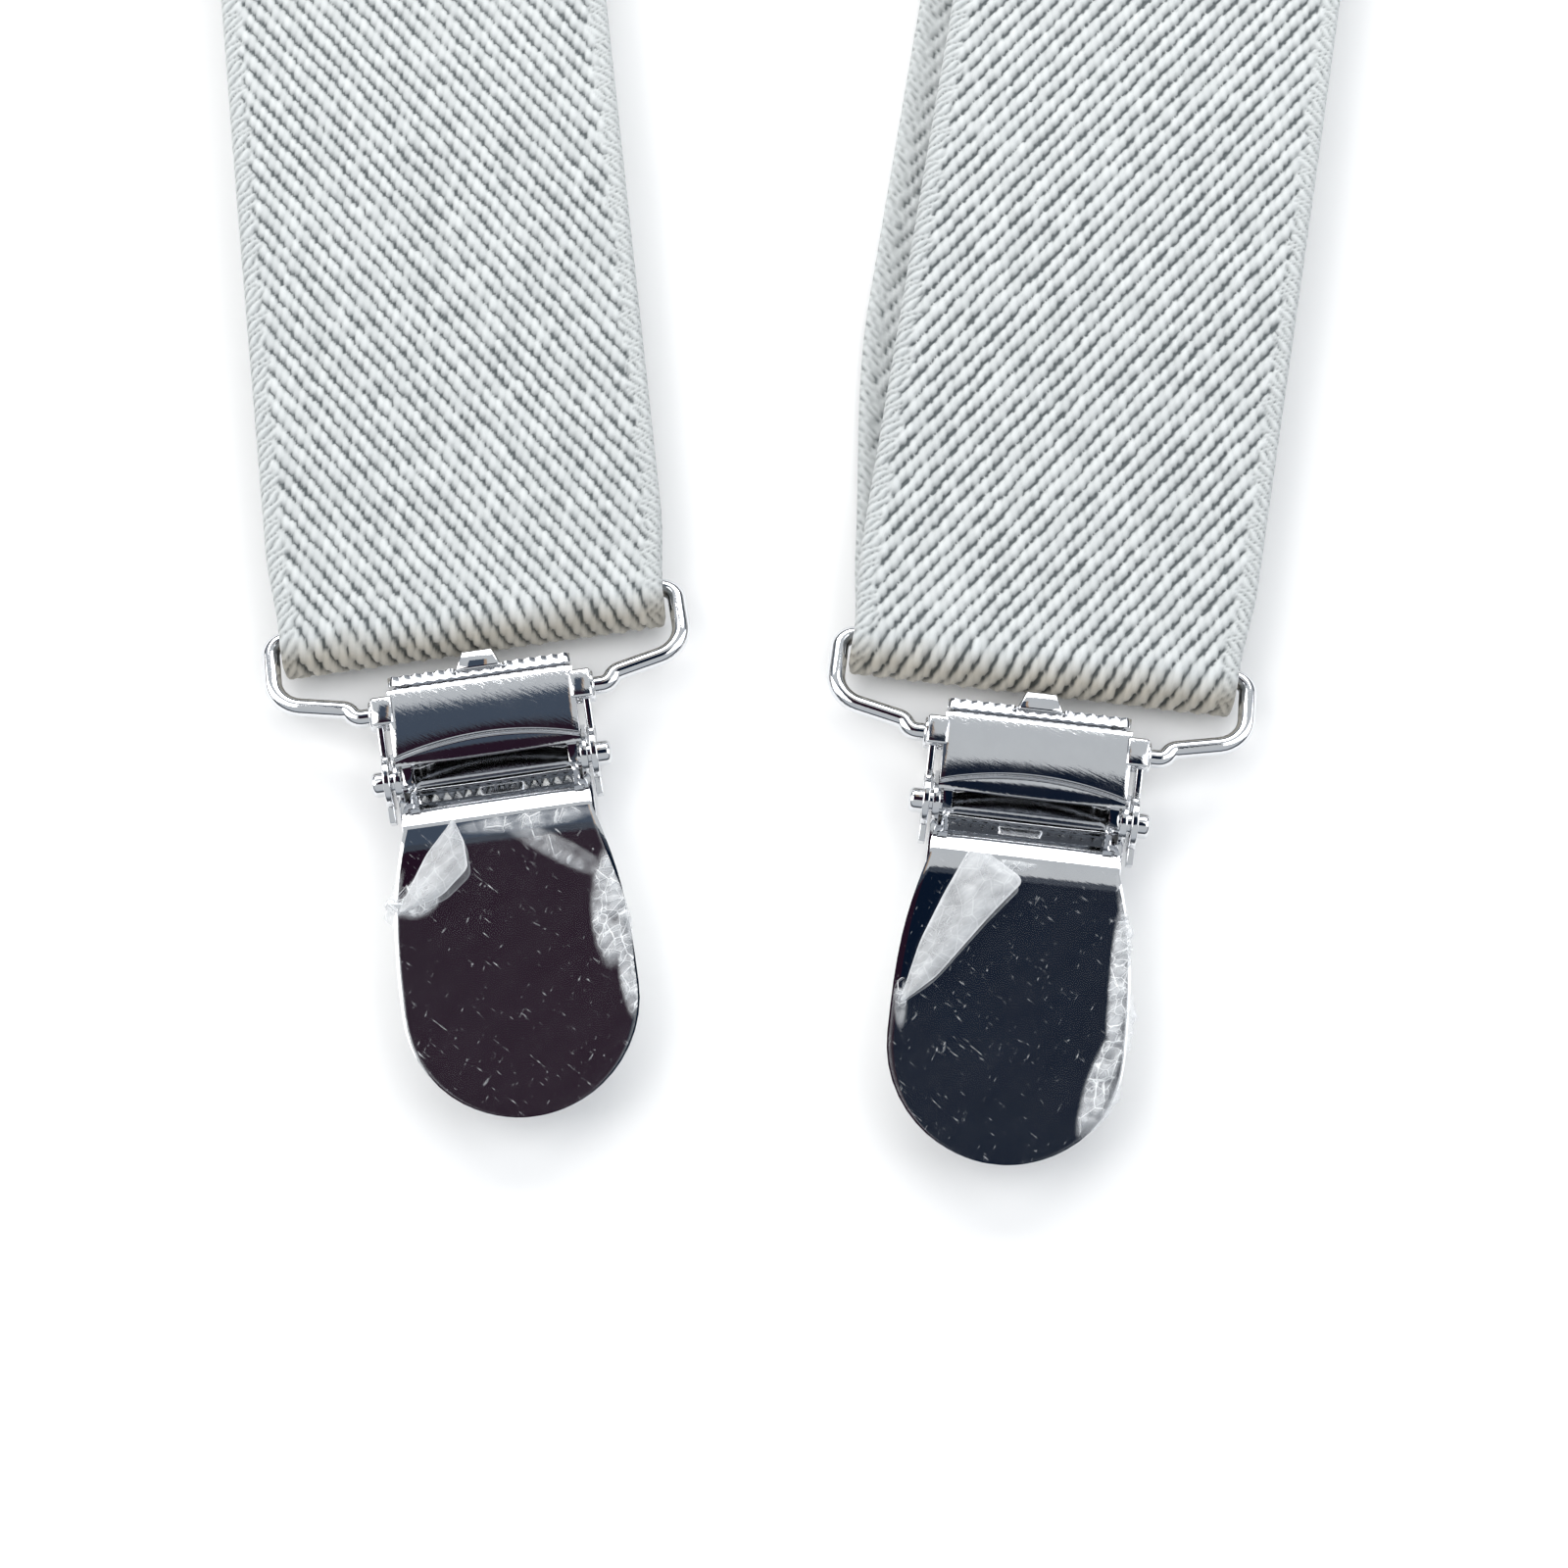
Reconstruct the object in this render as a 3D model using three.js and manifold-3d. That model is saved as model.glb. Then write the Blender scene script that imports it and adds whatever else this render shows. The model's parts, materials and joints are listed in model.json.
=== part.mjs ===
// Y-back clip suspenders in 35 mm elastic webbing, laid flat and folded at the shoulders.
// Millimetres. +X across the wearer's front, +Y along the straps towards the shoulders,
// +Z up from the table. The two front straps lie uppermost and the back straps below them.
import * as THREE from 'three';
import { mergeVertices } from 'three/addons/utils/BufferGeometryUtils.js';
import Module from 'manifold-3d';

const wasm = await Module();
wasm.setup();

// ---------------------------------------------------------------- driving dimensions
const gap = 0.3;                 // clearance between pieces that touch
const runningGap = 0.1;          // clearance between a pin and its hole

// elastic webbing
const strapWidth = 35;
const strapThickness = 1.4;
const foldGather = 1.2;          // how much narrower the webbing is in its fold round a bail
const foldEase = 8;              // length over which it regains its width
const loopLength = 68;           // from the bail's bar up to the end of the loop piece
const slideDistance = 140;       // from the bail's bar up to the slide's bar
const slideTravel = 40;          // half of what the slide moves the clip, each way
const frontLength = 470;         // from the bail's bar up to the shoulder crease
const shoulderRadius = 4;        // middle of the webbing round the shoulder crease
const crossoverLength = 85;      // stretch below the crease where front lies on back
const backStrapLength = 100;     // from the patch down to the back bail's bar
const backReturnLength = 26;     // sewn end of the back strap

// plan layout: the knuckle axis of each clip, its turn, and its strap's lean
const leftClip = { x: -26.2, y: 7.0, turn: 8.4, lean: 6.4, drift: 0 };
const rightClip = { x: 21.9, y: 3.1, turn: -6.8, lean: -9.5, drift: -3.1 };
const patchCentre = { x: 8, y: 262 };
const backLean = 3.5;            // how far the back strap leans

// wire bail
const wireDiameter = 1.6;
const barSpacing = 7.0;          // lower bars to top bar, across the loop
const barOffset = 1.8;           // knuckle axis to the lower bars
const bailCorner = 2.9;          // radius of the lower corners
const bailTopCorner = 1.4;       // radius of the corners hidden in the fold

// sheet metal of the clip
const coverSheet = 0.8;
const leverSheet = 0.8;
const earSheet = 0.6;
const jawSheet = 0.6;
const padHeight = 2.8;
const toothHeight = 0.8;
const toothPitch = 2.0;
const filmThickness = 0.15;

// clip outline, measured from the knuckle axis; x is half-widths
const plateTop = -10.6;
const plateTopHalf = 8.2;
const plateHalf = 10.1;
const plateBottom = -36.5;
const webHalf = 7.5;             // hidden rear part of the cover
const stripHalf = 8.0;           // turned-up top edge of the cover
const stripNear = 2.6;
const leverHalf = 8.1;
const leverTop = 1.4;
const leverBottom = -4.2;
const leverArch = 1.2;           // rise of the lever's arched lower edge
const pivotY = -5.8;
const pivotRadius = 1.1;
const lobeRadius = 1.9;          // flanges of cover and jaw round the pivot
const earRadius = 2.5;
const earTip = 3.7;
const knuckleWall = 0.5;
const trunnionTip = 10.45;
const jawBottom = -34;

// slide
const slideLength = 24;
const slideBar = 3.5;
const slideSheet = 1.2;
const slideEndLength = 20;       // sewn end of the strap on the slide

// leather patch
const patchThickness = 1.5;
const patchTopWidth = 74;
const patchBottomWidth = 50;
const patchLength = 52;
const meetingRise = 12;          // the back runs' inner corners meet this far above its middle
const patchCorner = 12;
const patchCurve = 18;           // height above its foot at which the patch starts to narrow

// how the webbing settles
const climbStart = 4;
const climbLength = 46;          // from the fold up to the level of the run through the slide
const descentLength = 45;        // from that level down to the table
const landingLength = 35;        // from the crossing of front and back runs down to the table
const sewnLead = 75;             // where a back run starts to rise between the patch layers
const sewnRise = 55;
const driftLength = 32;          // the return layer's sideways drift grows over this length
const driftEnd = 85;
const driftReturn = 25;

// ---------------------------------------------------------------- derived sizes
const wireRadius = wireDiameter / 2;
const foldMid = wireRadius + gap + strapThickness / 2;
const foldOuter = foldMid + strapThickness / 2;
const foldWidth = strapWidth - foldGather;
const bailHalf = foldWidth / 2 + gap + wireRadius;
const jawTop = jawSheet;
const padBottom = jawTop + gap;
const plateBack = padBottom + padHeight + gap;
const plateFront = plateBack + coverSheet;
const leverBack = plateFront + gap;
const leverFront = leverBack + leverSheet;
const knuckleRadius = wireRadius + runningGap + knuckleWall;
const knuckleZ = leverFront - knuckleRadius;
const pivotZ = plateBack - 0.6;
const rearBack = jawTop + 1.0;
const rearFront = rearBack + coverSheet;
const coverFlangeOut = webHalf;
const coverFlangeIn = coverFlangeOut - coverSheet * 0.75;
const jawFlangeIn = coverFlangeOut + gap;
const jawFlangeOut = jawFlangeIn + jawSheet;
const earIn = jawFlangeOut + gap;
const earOut = earIn + earSheet;
const knuckleIn = leverHalf - 0.1;
const knuckleOut = earOut + 0.55;
const barZ = foldOuter;
const barY = Math.sqrt((barOffset + barSpacing) ** 2 - (knuckleZ - barZ) ** 2);
const bailTilt = Math.atan2(knuckleZ - barZ, barY);
const runHeight = slideSheet + gap + 2 * (strapThickness + gap) + strapThickness / 2;
const tableMid = strapThickness / 2;
const sewnMid = patchThickness + gap + strapThickness / 2;

const degrees = Math.PI / 180;
const smooth = (value) => THREE.MathUtils.smoothstep(value, 0, 1);

// ---------------------------------------------------------------- solids
function toManifold(geometry) {
  const bare = geometry.index ? geometry.toNonIndexed() : geometry.clone();
  bare.deleteAttribute('normal');
  bare.deleteAttribute('uv');
  const merged = mergeVertices(bare, 1e-4);
  return new wasm.Manifold(new wasm.Mesh({
    numProp: 3,
    vertProperties: Float32Array.from(merged.attributes.position.array),
    triVerts: Uint32Array.from(merged.index.array),
  }));
}

function toGeometry(manifold) {
  const mesh = manifold.getMesh();
  const geometry = new THREE.BufferGeometry();
  geometry.setAttribute('position', new THREE.BufferAttribute(Float32Array.from(mesh.vertProperties), 3));
  geometry.setIndex(new THREE.BufferAttribute(Uint32Array.from(mesh.triVerts), 1));
  return geometry;
}

function joined(first, ...others) {
  return others.reduce((sum, other) => sum.add(other), first);
}

// a box between two corners
function block(low, high) {
  const size = high.map((value, axis) => value - low[axis]);
  const geometry = new THREE.BoxGeometry(size[0], size[1], size[2]);
  geometry.translate(low[0] + size[0] / 2, low[1] + size[1] / 2, low[2] + size[2] / 2);
  return toManifold(geometry);
}

// a plan outline (x, y) raised from z = low to z = high
function plate(shape, low, high, curveSegments = 10) {
  const options = { depth: high - low, bevelEnabled: false, curveSegments };
  const geometry = new THREE.ExtrudeGeometry(shape, options);
  geometry.translate(0, 0, low);
  return toManifold(geometry);
}

// a side outline (y, z) drawn out from x = low to x = high
const sideways = new THREE.Matrix4().makeBasis(
  new THREE.Vector3(0, 1, 0),
  new THREE.Vector3(0, 0, 1),
  new THREE.Vector3(1, 0, 0),
);

function profile(shape, low, high, curveSegments = 8) {
  const options = { depth: high - low, bevelEnabled: false, curveSegments };
  const geometry = new THREE.ExtrudeGeometry(shape, options);
  geometry.applyMatrix4(sideways);
  geometry.translate(low, 0, 0);
  return toManifold(geometry);
}

// a cylinder along x
function rod(radius, y, z, low, high, sides = 16) {
  const geometry = new THREE.CylinderGeometry(radius, radius, high - low, sides);
  geometry.rotateZ(Math.PI / 2);
  geometry.translate((low + high) / 2, y, z);
  return toManifold(geometry);
}

function polygon(points) {
  return new THREE.Shape(points.map(([a, b]) => new THREE.Vector2(a, b)));
}

function bothSides(make) {
  return joined(make(1), make(-1));
}

function sideSpan(side, near, far) {
  return side > 0 ? [near, far] : [-far, -near];
}

// ---------------------------------------------------------------- clip pieces
function bailSolid() {
  const reach = barOffset + barSpacing;
  const inPlane = (x, along) => new THREE.Vector3(
    x,
    along * Math.cos(bailTilt),
    knuckleZ - along * Math.sin(bailTilt),
  );
  const path = new THREE.CurvePath();
  const line = (a, b) => path.add(new THREE.LineCurve3(inPlane(...a), inPlane(...b)));
  const bend = (a, b, c) => {
    path.add(new THREE.QuadraticBezierCurve3(inPlane(...a), inPlane(...b), inPlane(...c)));
  };
  const corner = (centre, radius, from, to) => {
    const chords = 3;
    const spot = (turn) => [centre[0] + radius * Math.cos(turn), centre[1] + radius * Math.sin(turn)];
    for (let step = 0; step < chords; step += 1) {
      line(spot(from + (to - from) * step / chords), spot(from + (to - from) * (step + 1) / chords));
    }
  };
  const quarter = Math.PI / 2;
  const innerEnd = knuckleIn + gap;
  const jogStart = knuckleOut + 2 * gap;
  const jogEnd = jogStart + barOffset;
  const jogMid = (jogStart + jogEnd) / 2;
  const lowerX = bailHalf - bailCorner;
  const lowerY = barOffset + bailCorner;
  const upperX = bailHalf - bailTopCorner;
  const upperY = reach - bailTopCorner;
  line([-innerEnd, 0], [-jogStart, 0]);
  bend([-jogStart, 0], [-jogMid + gap, 0], [-jogMid, barOffset / 2]);
  bend([-jogMid, barOffset / 2], [-jogMid - gap, barOffset], [-jogEnd, barOffset]);
  line([-jogEnd, barOffset], [-lowerX, barOffset]);
  corner([-lowerX, lowerY], bailCorner, -quarter, -2 * quarter);
  line([-bailHalf, lowerY], [-bailHalf, upperY]);
  corner([-upperX, upperY], bailTopCorner, 2 * quarter, quarter);
  line([-upperX, reach], [upperX, reach]);
  corner([upperX, upperY], bailTopCorner, quarter, 0);
  line([bailHalf, upperY], [bailHalf, lowerY]);
  corner([lowerX, lowerY], bailCorner, 0, -quarter);
  line([lowerX, barOffset], [jogEnd, barOffset]);
  bend([jogEnd, barOffset], [jogMid + gap, barOffset], [jogMid, barOffset / 2]);
  bend([jogMid, barOffset / 2], [jogMid - gap, 0], [jogStart, 0]);
  line([jogStart, 0], [innerEnd, 0]);
  const sides = 8;
  const section = polygon(Array.from({ length: sides }, (_, index) => {
    const turn = (index + 0.5) * 2 * Math.PI / sides;
    return [wireRadius * Math.cos(turn), wireRadius * Math.sin(turn)];
  }));
  const geometry = new THREE.ExtrudeGeometry(section, { extrudePath: path, steps: 72, curveSegments: 1 });
  return toManifold(geometry);
}

function leverSolid() {
  const web = new THREE.Shape();
  web.moveTo(-leverHalf, leverBottom);
  web.quadraticCurveTo(0, leverBottom + 2 * leverArch, leverHalf, leverBottom);
  web.lineTo(leverHalf, -knuckleRadius);
  web.lineTo(earOut, -knuckleRadius);
  web.lineTo(earOut, knuckleRadius);
  web.lineTo(leverHalf, leverTop);
  web.lineTo(-leverHalf, leverTop);
  web.lineTo(-earOut, knuckleRadius);
  web.lineTo(-earOut, -knuckleRadius);
  web.lineTo(-leverHalf, -knuckleRadius);
  const drop = pivotZ - rearBack + 0.7;
  const ear = (side) => {
    const [low, high] = sideSpan(side, earIn, earOut);
    const [knuckleLow, knuckleHigh] = sideSpan(side, knuckleIn, knuckleOut);
    const strip = polygon([
      [0, leverFront], [pivotY + 0.8, pivotZ + earRadius - 0.15], [pivotY, pivotZ],
      [pivotY + 2.2, pivotZ - 1.4], [knuckleRadius * 0.7, knuckleZ - knuckleRadius * 0.7],
    ]);
    const camLobe = polygon([
      [pivotY, pivotZ], [pivotY + 0.8, pivotZ - drop], [pivotY + 2.8, pivotZ - drop], [pivotY + 3.4, pivotZ],
    ]);
    const tip = polygon([
      [pivotY, pivotZ + 1.2], [pivotY - 2.3, pivotZ + 0.9], [pivotY - earTip, pivotZ - 0.05],
      [pivotY - earTip + 0.25, pivotZ - 1.2], [pivotY, pivotZ - 2.2],
    ]);
    return joined(
      rod(earRadius, pivotY, pivotZ, low, high, 20),
      profile(strip, low, high),
      profile(camLobe, low, high),
      profile(tip, low, high),
      rod(knuckleRadius, 0, knuckleZ, knuckleLow, knuckleHigh),
    );
  };
  const body = joined(plate(web, leverBack, leverFront), bothSides(ear));
  const bores = bothSides((side) => {
    const [low, high] = sideSpan(side, knuckleIn - 0.5, knuckleOut + 0.5);
    return joined(
      rod(wireRadius + runningGap + 0.05, 0, knuckleZ, low, high),
      rod(pivotRadius + runningGap + 0.05, pivotY, pivotZ, ...sideSpan(side, earIn - 0.5, earOut + 0.5)),
    );
  });
  return body.subtract(bores);
}

function coverOutline(inset) {
  const half = plateHalf - inset;
  const top = plateTopHalf - inset;
  const bottom = plateBottom + inset;
  const shape = new THREE.Shape();
  shape.moveTo(-top, plateTop);
  shape.lineTo(top, plateTop);
  shape.bezierCurveTo(top + 0.9, plateTop - 4.5, half, plateTop - 10, half, bottom + half);
  shape.absarc(0, bottom + half, half, 0, -Math.PI, true);
  shape.bezierCurveTo(-half, plateTop - 10, -top - 0.9, plateTop - 4.5, -top, plateTop);
  return shape;
}

function coverSolid() {
  const stripFar = stripNear + coverSheet;
  const side = new THREE.Shape();
  side.moveTo(stripFar, rearBack);
  side.lineTo(stripFar, plateBack + 0.5);
  side.lineTo(stripNear, plateBack + 0.5);
  side.lineTo(stripNear, rearFront);
  side.lineTo(plateTop + 2.5, rearFront);
  side.quadraticCurveTo(plateTop + 1.6, rearFront + 0.1, plateTop + 1.3, rearFront + 1.0);
  side.quadraticCurveTo(plateTop + 0.8, plateFront, plateTop - 0.6, plateFront);
  side.lineTo(plateBottom, plateFront);
  side.lineTo(plateBottom, plateBack);
  side.lineTo(plateTop - 0.2, plateBack);
  side.quadraticCurveTo(plateTop + 0.4, plateBack, plateTop + 0.6, rearFront + 0.6);
  side.quadraticCurveTo(plateTop + 1.0, rearBack, plateTop + 2.0, rearBack);
  const rear = polygon([
    [-stripHalf, stripFar], [-stripHalf, stripNear - 0.4], [-webHalf, stripNear - 0.4],
    [-webHalf, plateTop + 2.6], [-plateTopHalf, plateTop + 2.0], [-plateTopHalf, plateTop - 0.2],
    [plateTopHalf, plateTop - 0.2], [plateTopHalf, plateTop + 2.0], [webHalf, plateTop + 2.6],
    [webHalf, stripNear - 0.4], [stripHalf, stripNear - 0.4], [stripHalf, stripFar],
  ]);
  const outline = joined(plate(rear, 0, leverFront), plate(coverOutline(0), 0, leverFront, 14));
  const relief = bothSides((sign) => {
    const [low, high] = sideSpan(sign, webHalf, plateHalf);
    return block([low, plateTop - 3, 0], [high, stripNear - 1, plateBack - 0.4]);
  });
  const flange = (sign) => {
    const [low, high] = sideSpan(sign, coverFlangeIn, coverFlangeOut);
    return joined(
      rod(lobeRadius, pivotY, pivotZ, low, high),
      block([low, pivotY - lobeRadius, rearBack], [high, pivotY + lobeRadius, pivotZ]),
    );
  };
  const trunnion = (sign) => {
    const start = coverFlangeIn + 0.2;
    const length = trunnionTip - start;
    const lathe = new THREE.LatheGeometry([
      new THREE.Vector2(0, 0),
      new THREE.Vector2(pivotRadius, 0),
      new THREE.Vector2(pivotRadius, length - 0.6),
      new THREE.Vector2(pivotRadius * 0.55, length - 0.1),
      new THREE.Vector2(0, length),
    ], 14);
    lathe.rotateZ(-sign * Math.PI / 2);
    lathe.translate(sign * start, pivotY, pivotZ);
    return toManifold(lathe);
  };
  const tongue = plate(polygon([
    [-2.2, stripNear + 0.1], [2.2, stripNear + 0.1], [1.7, stripFar + 1.3], [-1.7, stripFar + 1.3],
  ]), plateBack - 0.4, plateBack + 0.4);
  return joined(
    profile(side, -plateHalf - 1, plateHalf + 1).intersect(outline).subtract(relief),
    tongue,
    bothSides(flange),
    bothSides(trunnion),
  );
}

function jawSolid() {
  const halfWidth = jawFlangeOut;
  const floorTop = pivotY - 3.0;
  const floor = new THREE.Shape();
  floor.moveTo(-halfWidth, floorTop);
  floor.lineTo(halfWidth, floorTop);
  floor.lineTo(halfWidth, jawBottom + 10);
  floor.absellipse(0, jawBottom + 10, halfWidth, 10, 0, -Math.PI, true);
  const flange = (side) => {
    const [low, high] = sideSpan(side, jawFlangeIn, jawFlangeOut);
    const outline = polygon([
      [pivotY - 10, 0], [pivotY - 8, jawTop + 1.5], [pivotY - 3.2, pivotZ - 0.4], [pivotY, pivotZ],
      [pivotY + 1.9, pivotZ - 0.3], [pivotY + 3.3, jawTop + 0.8], [pivotY + 3.3, 0],
    ]);
    const wing = block(
      [side > 0 ? jawFlangeIn : -earOut, pivotY + 0.8, 0],
      [side > 0 ? earOut : -jawFlangeIn, pivotY + 3.3, jawSheet],
    );
    return joined(profile(outline, low, high), rod(lobeRadius, pivotY, pivotZ, low, high), wing);
  };
  const holes = bothSides((side) => rod(
    pivotRadius + runningGap + 0.05,
    pivotY,
    pivotZ,
    ...sideSpan(side, jawFlangeIn - 0.2, jawFlangeOut + 0.2),
  ));
  return joined(plate(floor, 0, jawSheet), bothSides(flange)).subtract(holes);
}

function padSolid() {
  const halfWidth = jawFlangeIn - gap;
  const top = plateTop - 2.5;
  const bottom = jawBottom + 2.5;
  const outline = new THREE.Shape();
  outline.moveTo(-halfWidth, top);
  outline.lineTo(halfWidth, top);
  outline.lineTo(halfWidth, bottom + 8);
  outline.absellipse(0, bottom + 8, halfWidth, 8, 0, -Math.PI, true);
  const crest = padBottom + padHeight;
  const points = [[top + 1, padBottom], [top + 1, crest - toothHeight]];
  const teeth = Math.floor((top - bottom) / toothPitch);
  for (let tooth = 0; tooth < teeth; tooth += 1) {
    const start = top - tooth * toothPitch;
    points.push([start, crest - toothHeight]);
    points.push([start - toothPitch * 0.35, crest], [start - toothPitch * 0.6, crest]);
  }
  points.push([bottom - 1, crest - toothHeight], [bottom - 1, padBottom]);
  return profile(polygon(points), -halfWidth - 1, halfWidth + 1).intersect(plate(outline, 0, leverFront));
}

function filmSolid() {
  return plate(coverOutline(0.25), plateFront + gap, plateFront + gap + filmThickness);
}

// ---------------------------------------------------------------- webbing
// A strip of webbing: stations run along it, and place(across, outward, station) gives each point.
function webbing(stations, place, acrossSteps = 2) {
  const count = stations.length - 1;
  const geometry = new THREE.BoxGeometry(1, 1, 1, acrossSteps, 1, count);
  const position = geometry.attributes.position;
  for (let index = 0; index < position.count; index += 1) {
    const station = stations[Math.round((position.getZ(index) + 0.5) * count)];
    const point = place(position.getX(index) * 2, position.getY(index) * strapThickness, station);
    position.setXYZ(index, point.x, point.y, point.z);
  }
  return toManifold(facedOut(geometry));
}

// Turn every triangle over where the mapping left the strip inside out.
function facedOut(geometry) {
  const corners = geometry.index.array;
  const position = geometry.attributes.position;
  const vertex = [new THREE.Vector3(), new THREE.Vector3(), new THREE.Vector3()];
  let volume = 0;
  for (let start = 0; start < corners.length; start += 3) {
    vertex.forEach((point, corner) => point.fromBufferAttribute(position, corners[start + corner]));
    volume += vertex[0].dot(vertex[1].cross(vertex[2]));
  }
  if (volume < 0) {
    for (let start = 0; start < corners.length; start += 3) {
      [corners[start], corners[start + 1]] = [corners[start + 1], corners[start]];
    }
  }
  return geometry;
}

function steps(from, to, count) {
  return Array.from({ length: count + 1 }, (_, index) => from + (to - from) * index / count);
}

function halfWidthAt(distance) {
  return (foldWidth + (strapWidth - foldWidth) * smooth(distance / foldEase)) / 2;
}

const halfFold = Math.PI * foldMid / 2;
const foldBottomMid = barZ - foldMid;
const foldTopMid = barZ + foldMid;
const travelTop = slideDistance + 2 * slideTravel + slideLength;
const landedAt = travelTop + descentLength;

// height of the front layer's middle above the table, by distance above the bar
function frontHeight(distance) {
  const climb = smooth((distance - climbStart) / climbLength);
  const descent = smooth((distance - travelTop) / descentLength);
  const high = foldTopMid + (runHeight - foldTopMid) * climb;
  return high + (tableMid - high) * descent;
}

// One front side: positions of its webbing in the plan, and the shoulder fold that turns it under.
class FrontSide {
  constructor(clip) {
    this.clip = clip;
    this.turn = clip.turn * degrees;
    this.slope = Math.tan((clip.lean - clip.turn) * degrees) * -1;
    this.up = new THREE.Vector2(-Math.sin(clip.lean * degrees), Math.cos(clip.lean * degrees));
    this.inward = clip.x < 0 ? 1 : -1;
    this.crease = this.planPoint(0, frontLength);
    this.solveShoulder();
  }

  // point on the flat webbing: across the strap and above the bail's bar
  planPoint(across, distance) {
    const x = across + distance * this.slope;
    const y = barY + distance;
    const cos = Math.cos(this.turn);
    const sin = Math.sin(this.turn);
    return new THREE.Vector2(this.clip.x + x * cos - y * sin, this.clip.y + x * sin + y * cos);
  }

  // find the back run's direction, so that its inner corner meets the patch's centre line
  solveShoulder() {
    const corner = new THREE.Vector2(patchCentre.x - this.inward * 2 * gap, patchCentre.y + meetingRise);
    const wrap = Math.PI * shoulderRadius;
    let down = new THREE.Vector2(0, -1);
    for (let pass = 0; pass < 8; pass += 1) {
      this.normal = this.up.clone().sub(down).normalize();
      this.along = new THREE.Vector2(this.normal.y, -this.normal.x);
      const cosine = this.up.dot(this.normal);
      const sine = this.up.dot(this.along);
      this.start = this.crease.clone().addScaledVector(this.along, wrap * sine / cosine);
      const toCorner = corner.clone().sub(this.start);
      const distance = toCorner.length();
      const bearing = Math.atan2(this.inward * toCorner.x, -toCorner.y);
      const angle = bearing - Math.asin(strapWidth / 2 / distance);
      down = new THREE.Vector2(this.inward * Math.sin(angle), -Math.cos(angle));
      this.flatEnd = frontLength + wrap / cosine + toCorner.dot(down);
    }
    this.down = down;
    this.wrap = wrap;
  }

  // middle surface height of the front run where it nears the crease
  creaseHeight(below) {
    const crossing = tableMid + strapThickness + gap;
    const fall = 1 - smooth(below / (crossoverLength * 0.8));
    const arch = crossing + (tableMid + 2 * shoulderRadius - crossing) * fall;
    const landing = smooth((below - crossoverLength) / landingLength);
    return arch + (tableMid - arch) * landing;
  }

  // point on the finished webbing
  point(across, outwardOffset, distance) {
    const flat = this.planPoint(across * halfWidthAt(Math.abs(distance)), distance);
    const offset = flat.clone().sub(this.crease);
    const height = offset.dot(this.normal);
    const lateral = offset.dot(this.along);
    const rise = smooth((distance - this.flatEnd + sewnLead) / sewnRise) * (sewnMid - tableMid);
    const place = (ahead, z) => {
      const spot = this.crease.clone();
      spot.addScaledVector(this.normal, ahead).addScaledVector(this.along, lateral);
      return new THREE.Vector3(spot.x, spot.y, z);
    };
    if (height < 0) {
      const mid = distance < landedAt ? frontHeight(distance) : this.creaseHeight(-height);
      return place(height, mid + outwardOffset);
    }
    if (height > this.wrap) {
      return place(this.wrap - height, tableMid - outwardOffset + rise);
    }
    const angle = height / shoulderRadius;
    const radius = shoulderRadius + outwardOffset;
    return place(radius * Math.sin(angle), tableMid + shoulderRadius + radius * Math.cos(angle));
  }

  shoulderStrap() {
    const creaseZone = strapWidth / 2 * Math.abs(this.up.dot(this.along)) + 2;
    const stations = [
      ...steps(loopLength + gap, travelTop, 3),
      ...steps(travelTop, landedAt, 5).slice(1),
      ...steps(frontLength - crossoverLength - landingLength, frontLength - creaseZone, 11),
      ...steps(frontLength - creaseZone, frontLength + this.wrap + creaseZone + 1.5, 22).slice(1),
      ...steps(this.flatEnd - sewnLead, this.flatEnd - sewnLead + sewnRise, 5),
      this.flatEnd,
    ];
    const place = (across, out, station) => this.point(across, out, station);
    return webbing(stations, place, 4);
  }

  // the doubled lower end: front layer, fold round the bail's bar, and return layer
  loop() {
    const returnEnd = slideDistance - slideEndLength - gap;
    const stations = [
      ...steps(-halfFold - returnEnd, -halfFold - 40, 4),
      ...steps(-halfFold - 40, -halfFold - foldEase, 5).slice(1),
      ...steps(-halfFold - foldEase, -halfFold, 3).slice(1),
      ...steps(-halfFold, halfFold, 9).slice(1),
      ...steps(halfFold, halfFold + foldEase, 3).slice(1),
      ...steps(halfFold + foldEase, halfFold + loopLength, 8).slice(1),
    ];
    const place = (across, out, station) => {
      if (station >= halfFold) {
        return this.point(across, out, station - halfFold);
      }
      if (station > -halfFold) {
        const angle = station / foldMid;
        const radius = foldMid + out;
        const spot = this.planPoint(across * foldWidth / 2, -radius * Math.cos(angle));
        return new THREE.Vector3(spot.x, spot.y, barZ + radius * Math.sin(angle));
      }
      return this.returnPoint(across, out, -halfFold - station);
    };
    return webbing(stations, place);
  }

  // the return layer lies on the table and may drift sideways between fold and slide
  returnPoint(across, out, distance) {
    const fading = 1 - smooth((distance - driftEnd) / driftReturn);
    const drift = this.clip.drift * smooth(distance / driftLength) * fading;
    const spot = this.planPoint(across * halfWidthAt(distance) + drift, distance);
    return new THREE.Vector3(spot.x, spot.y, foldBottomMid - out);
  }

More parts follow.
